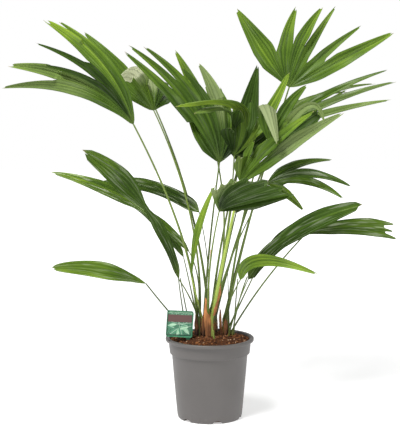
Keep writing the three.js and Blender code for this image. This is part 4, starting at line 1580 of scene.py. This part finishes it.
class PALM_OT_stalks(Maker, bpy.types.Operator):
    """Draw each leaf stalk from its stem to the heart of its blade"""

    bl_idname = "palm.stalks"
    bl_label = "Leaf stalks"

    STEPS = 26
    LOOSE_STEPS = 12
    PAST_HEART = 2
    ROOT_DEPTH = 6
    ROOT = ((0, 1.3), (0.35, 1.2), (0.7, 1.1))

    def execute(self, context):
        material = stalk_look(context.scene.palm_colours)
        self.loose(material)
        for number, frond in enumerate(FRONDS, 1):
            foot_radius, heart_radius, tint = frond["stalk"]
            foot = stalk_foot(frond)
            end = Vector(frond["heart"]) + aim(*frond["axis"]) * self.PAST_HEART
            centres = bow(foot, frond["knee"], end, self.STEPS)
            radii = self.taper(foot_radius, heart_radius, self.STEPS)
            if "stem" in frond:
                sunk = Vector((foot.x, foot.y, SOIL_TOP - self.ROOT_DEPTH))
                centres[:0] = [sunk.lerp(foot, share) for share, _ in self.ROOT]
                radii[:0] = [foot_radius * swell for _, swell in self.ROOT]
            mesh = Mesh(tone=STALK_TONES[tint], share=0.0)
            tube(mesh, centres, radii, 12, flat=0.85)
            piece = mesh.make(f"frond_{number:02}_petiole", material)
            smooth(piece, 60)
            belong(piece, "stalk", f"frond_{number:02}_stalk")
        return {"FINISHED"}

    def taper(self, low, high, steps):
        return [lerp(low, high, i / steps) for i in range(steps + 1)]

    def loose(self, material):
        """Thin stalks without a blade: young spears, dry stalks and a cut stub."""
        mesh = Mesh(tone=0.5, share=0.0)
        for foot, knee, end, low, high, tone in LOOSE_STALKS:
            centres = bow(foot, knee, end, self.LOOSE_STEPS)
            tube(mesh, centres, self.taper(low, high, self.LOOSE_STEPS), 8, tone=tone)
        piece = mesh.make("loose_stalks", material)
        smooth(piece, 60)
        belong(piece, "stalk")


# ---------------------------------------------------------------- leaves


class PALM_OT_leaves(Maker, bpy.types.Operator):
    """Fold the pleated fans and strap leaves"""

    bl_idname = "palm.leaves"
    bl_label = "Leaves"

    def execute(self, context):
        sizes = context.scene.palm_sizes
        material = leaf_look(context.scene.palm_colours)
        for number, frond in enumerate(FRONDS, 1):
            mesh = Mesh(tone=0.5, share=0.0, sage_and_sheen=0.0, gleam=frond["gleam"])
            Blade(frond, sizes, random.Random(number)).build(mesh)
            piece = mesh.make(f"frond_{number:02}_leaf", material)
            smooth(piece, 18)
            belong(piece, "blade", f"frond_{number:02}_blade")
        return {"FINISHED"}


# ---------------------------------------------------------------- stage


class PALM_OT_stage(Maker, bpy.types.Operator):
    """Lay the floor, hang the lights and set up the camera"""

    bl_idname = "palm.stage"
    bl_label = "Floor, light and camera"

    CAMERA_AT = (-0.021, -2.960, 0.798)
    CAMERA_TILT = 83.15
    CAMERA_LENS = 118.03
    FLOOR_SIZE = 12
    GLOW_RADII = (0.9, 3.2)
    LIT_MIDDLE = Vector((0, 0, 0.5))

    def execute(self, context):
        stage = context.scene.palm_stage
        clear_selection()
        bpy.ops.mesh.primitive_plane_add(size=self.FLOOR_SIZE)
        floor = context.object
        floor.name = "studio_floor"
        paint = Look("pale_floor")
        x, y, _ = paint.parts(paint.place())
        away = ((x * x + y * y) ** 0.5).step(*self.GLOW_RADII)
        glow = paint.blend(away, (stage.floor_glow,) * 3, (1, 1, 1))
        paint.set(Base_Color=stage.floor, Roughness=0.9, Emission_Color=glow, Emission_Strength=1)
        floor.data.materials.append(paint.material)
        world = context.scene.world or bpy.data.worlds.new("studio")
        context.scene.world = world
        world.use_nodes = True
        self.paint_sky(world.node_tree, stage.sky)
        self.panel("key_light", (-1.0, -1.5, 3.0), 1.1, stage.key_power)
        self.panel("fill_light", (2.6, -1.8, 1.4), 1.6, stage.fill_power)
        self.panel("back_light", (0.8, 2.4, 2.8), 1.4, stage.fill_power)
        context.scene.view_settings.view_transform = "Standard"
        bpy.ops.object.camera_add(
            location=self.CAMERA_AT, rotation=(math.radians(self.CAMERA_TILT), 0, 0)
        )
        camera = context.object
        camera.data.lens = self.CAMERA_LENS
        camera.data.clip_end = 100
        context.scene.camera = camera
        return {"FINISHED"}

    def paint_sky(self, tree, overhead):
        """White walls all round and a dimmer ceiling."""
        direction = tree.nodes.new("ShaderNodeTexCoord").outputs["Generated"]
        parts = tree.nodes.new("ShaderNodeSeparateXYZ")
        fade = tree.nodes.new("ShaderNodeMapRange")
        fade.interpolation_type = "SMOOTHSTEP"
        levels = {"From Min": 0.06, "From Max": 0.3, "To Min": 1, "To Max": overhead}
        for name, value in levels.items():
            fade.inputs[name].default_value = value
        tree.links.new(direction, parts.inputs[0])
        tree.links.new(parts.outputs["Z"], fade.inputs["Value"])
        tree.links.new(fade.outputs[0], tree.nodes["Background"].inputs["Strength"])
        tree.nodes["Background"].inputs["Color"].default_value = (1, 1, 1, 1)

    def panel(self, name, place, size, power):
        """A square light that looks at the middle of the plant."""
        bpy.ops.object.light_add(type="AREA", location=place)
        light = bpy.context.object
        light.name = name
        light.data.size = size
        light.data.energy = power
        toward = self.LIT_MIDDLE - Vector(place)
        light.rotation_euler = toward.to_track_quat("-Z", "Y").to_euler()


PIECES = (
    PALM_OT_pot,
    PALM_OT_soil,
    PALM_OT_chips,
    PALM_OT_label,
    PALM_OT_stems,
    PALM_OT_stalks,
    PALM_OT_leaves,
    PALM_OT_stage,
)


class PALM_PT_panel(bpy.types.Panel):
    """Lists the pieces of the palm and their sizes"""

    bl_label = "Fan Palm"
    bl_idname = "PALM_PT_panel"
    bl_space_type = "VIEW_3D"
    bl_region_type = "UI"
    bl_category = "Fan Palm"

    def draw(self, context):
        for group in ("palm_sizes", "palm_colours", "palm_stage"):
            values = getattr(context.scene, group)
            column = self.layout.column(align=True)
            for name in values.bl_rna.properties.keys():
                if name not in {"rna_type", "name"}:
                    column.prop(values, name)
        for piece in PIECES:
            self.layout.operator(piece.bl_idname)


GROUPS = {"palm_sizes": PalmSizes, "palm_colours": PalmColours, "palm_stage": PalmStage}


def register():
    for kind in (*GROUPS.values(), *PIECES, PALM_PT_panel):
        bpy.utils.register_class(kind)
    for name, kind in GROUPS.items():
        setattr(bpy.types.Scene, name, PointerProperty(type=kind))


def unregister():
    for name in GROUPS:
        delattr(bpy.types.Scene, name)
    for kind in reversed((*GROUPS.values(), *PIECES, PALM_PT_panel)):
        bpy.utils.unregister_class(kind)


def main():
    register()
    bpy.ops.palm.pot()
    bpy.ops.palm.soil()
    bpy.ops.palm.chips()
    bpy.ops.palm.label()
    bpy.ops.palm.stems()
    bpy.ops.palm.stalks()
    bpy.ops.palm.leaves()
    bpy.ops.palm.stage()


if __name__ == "__main__":
    main()
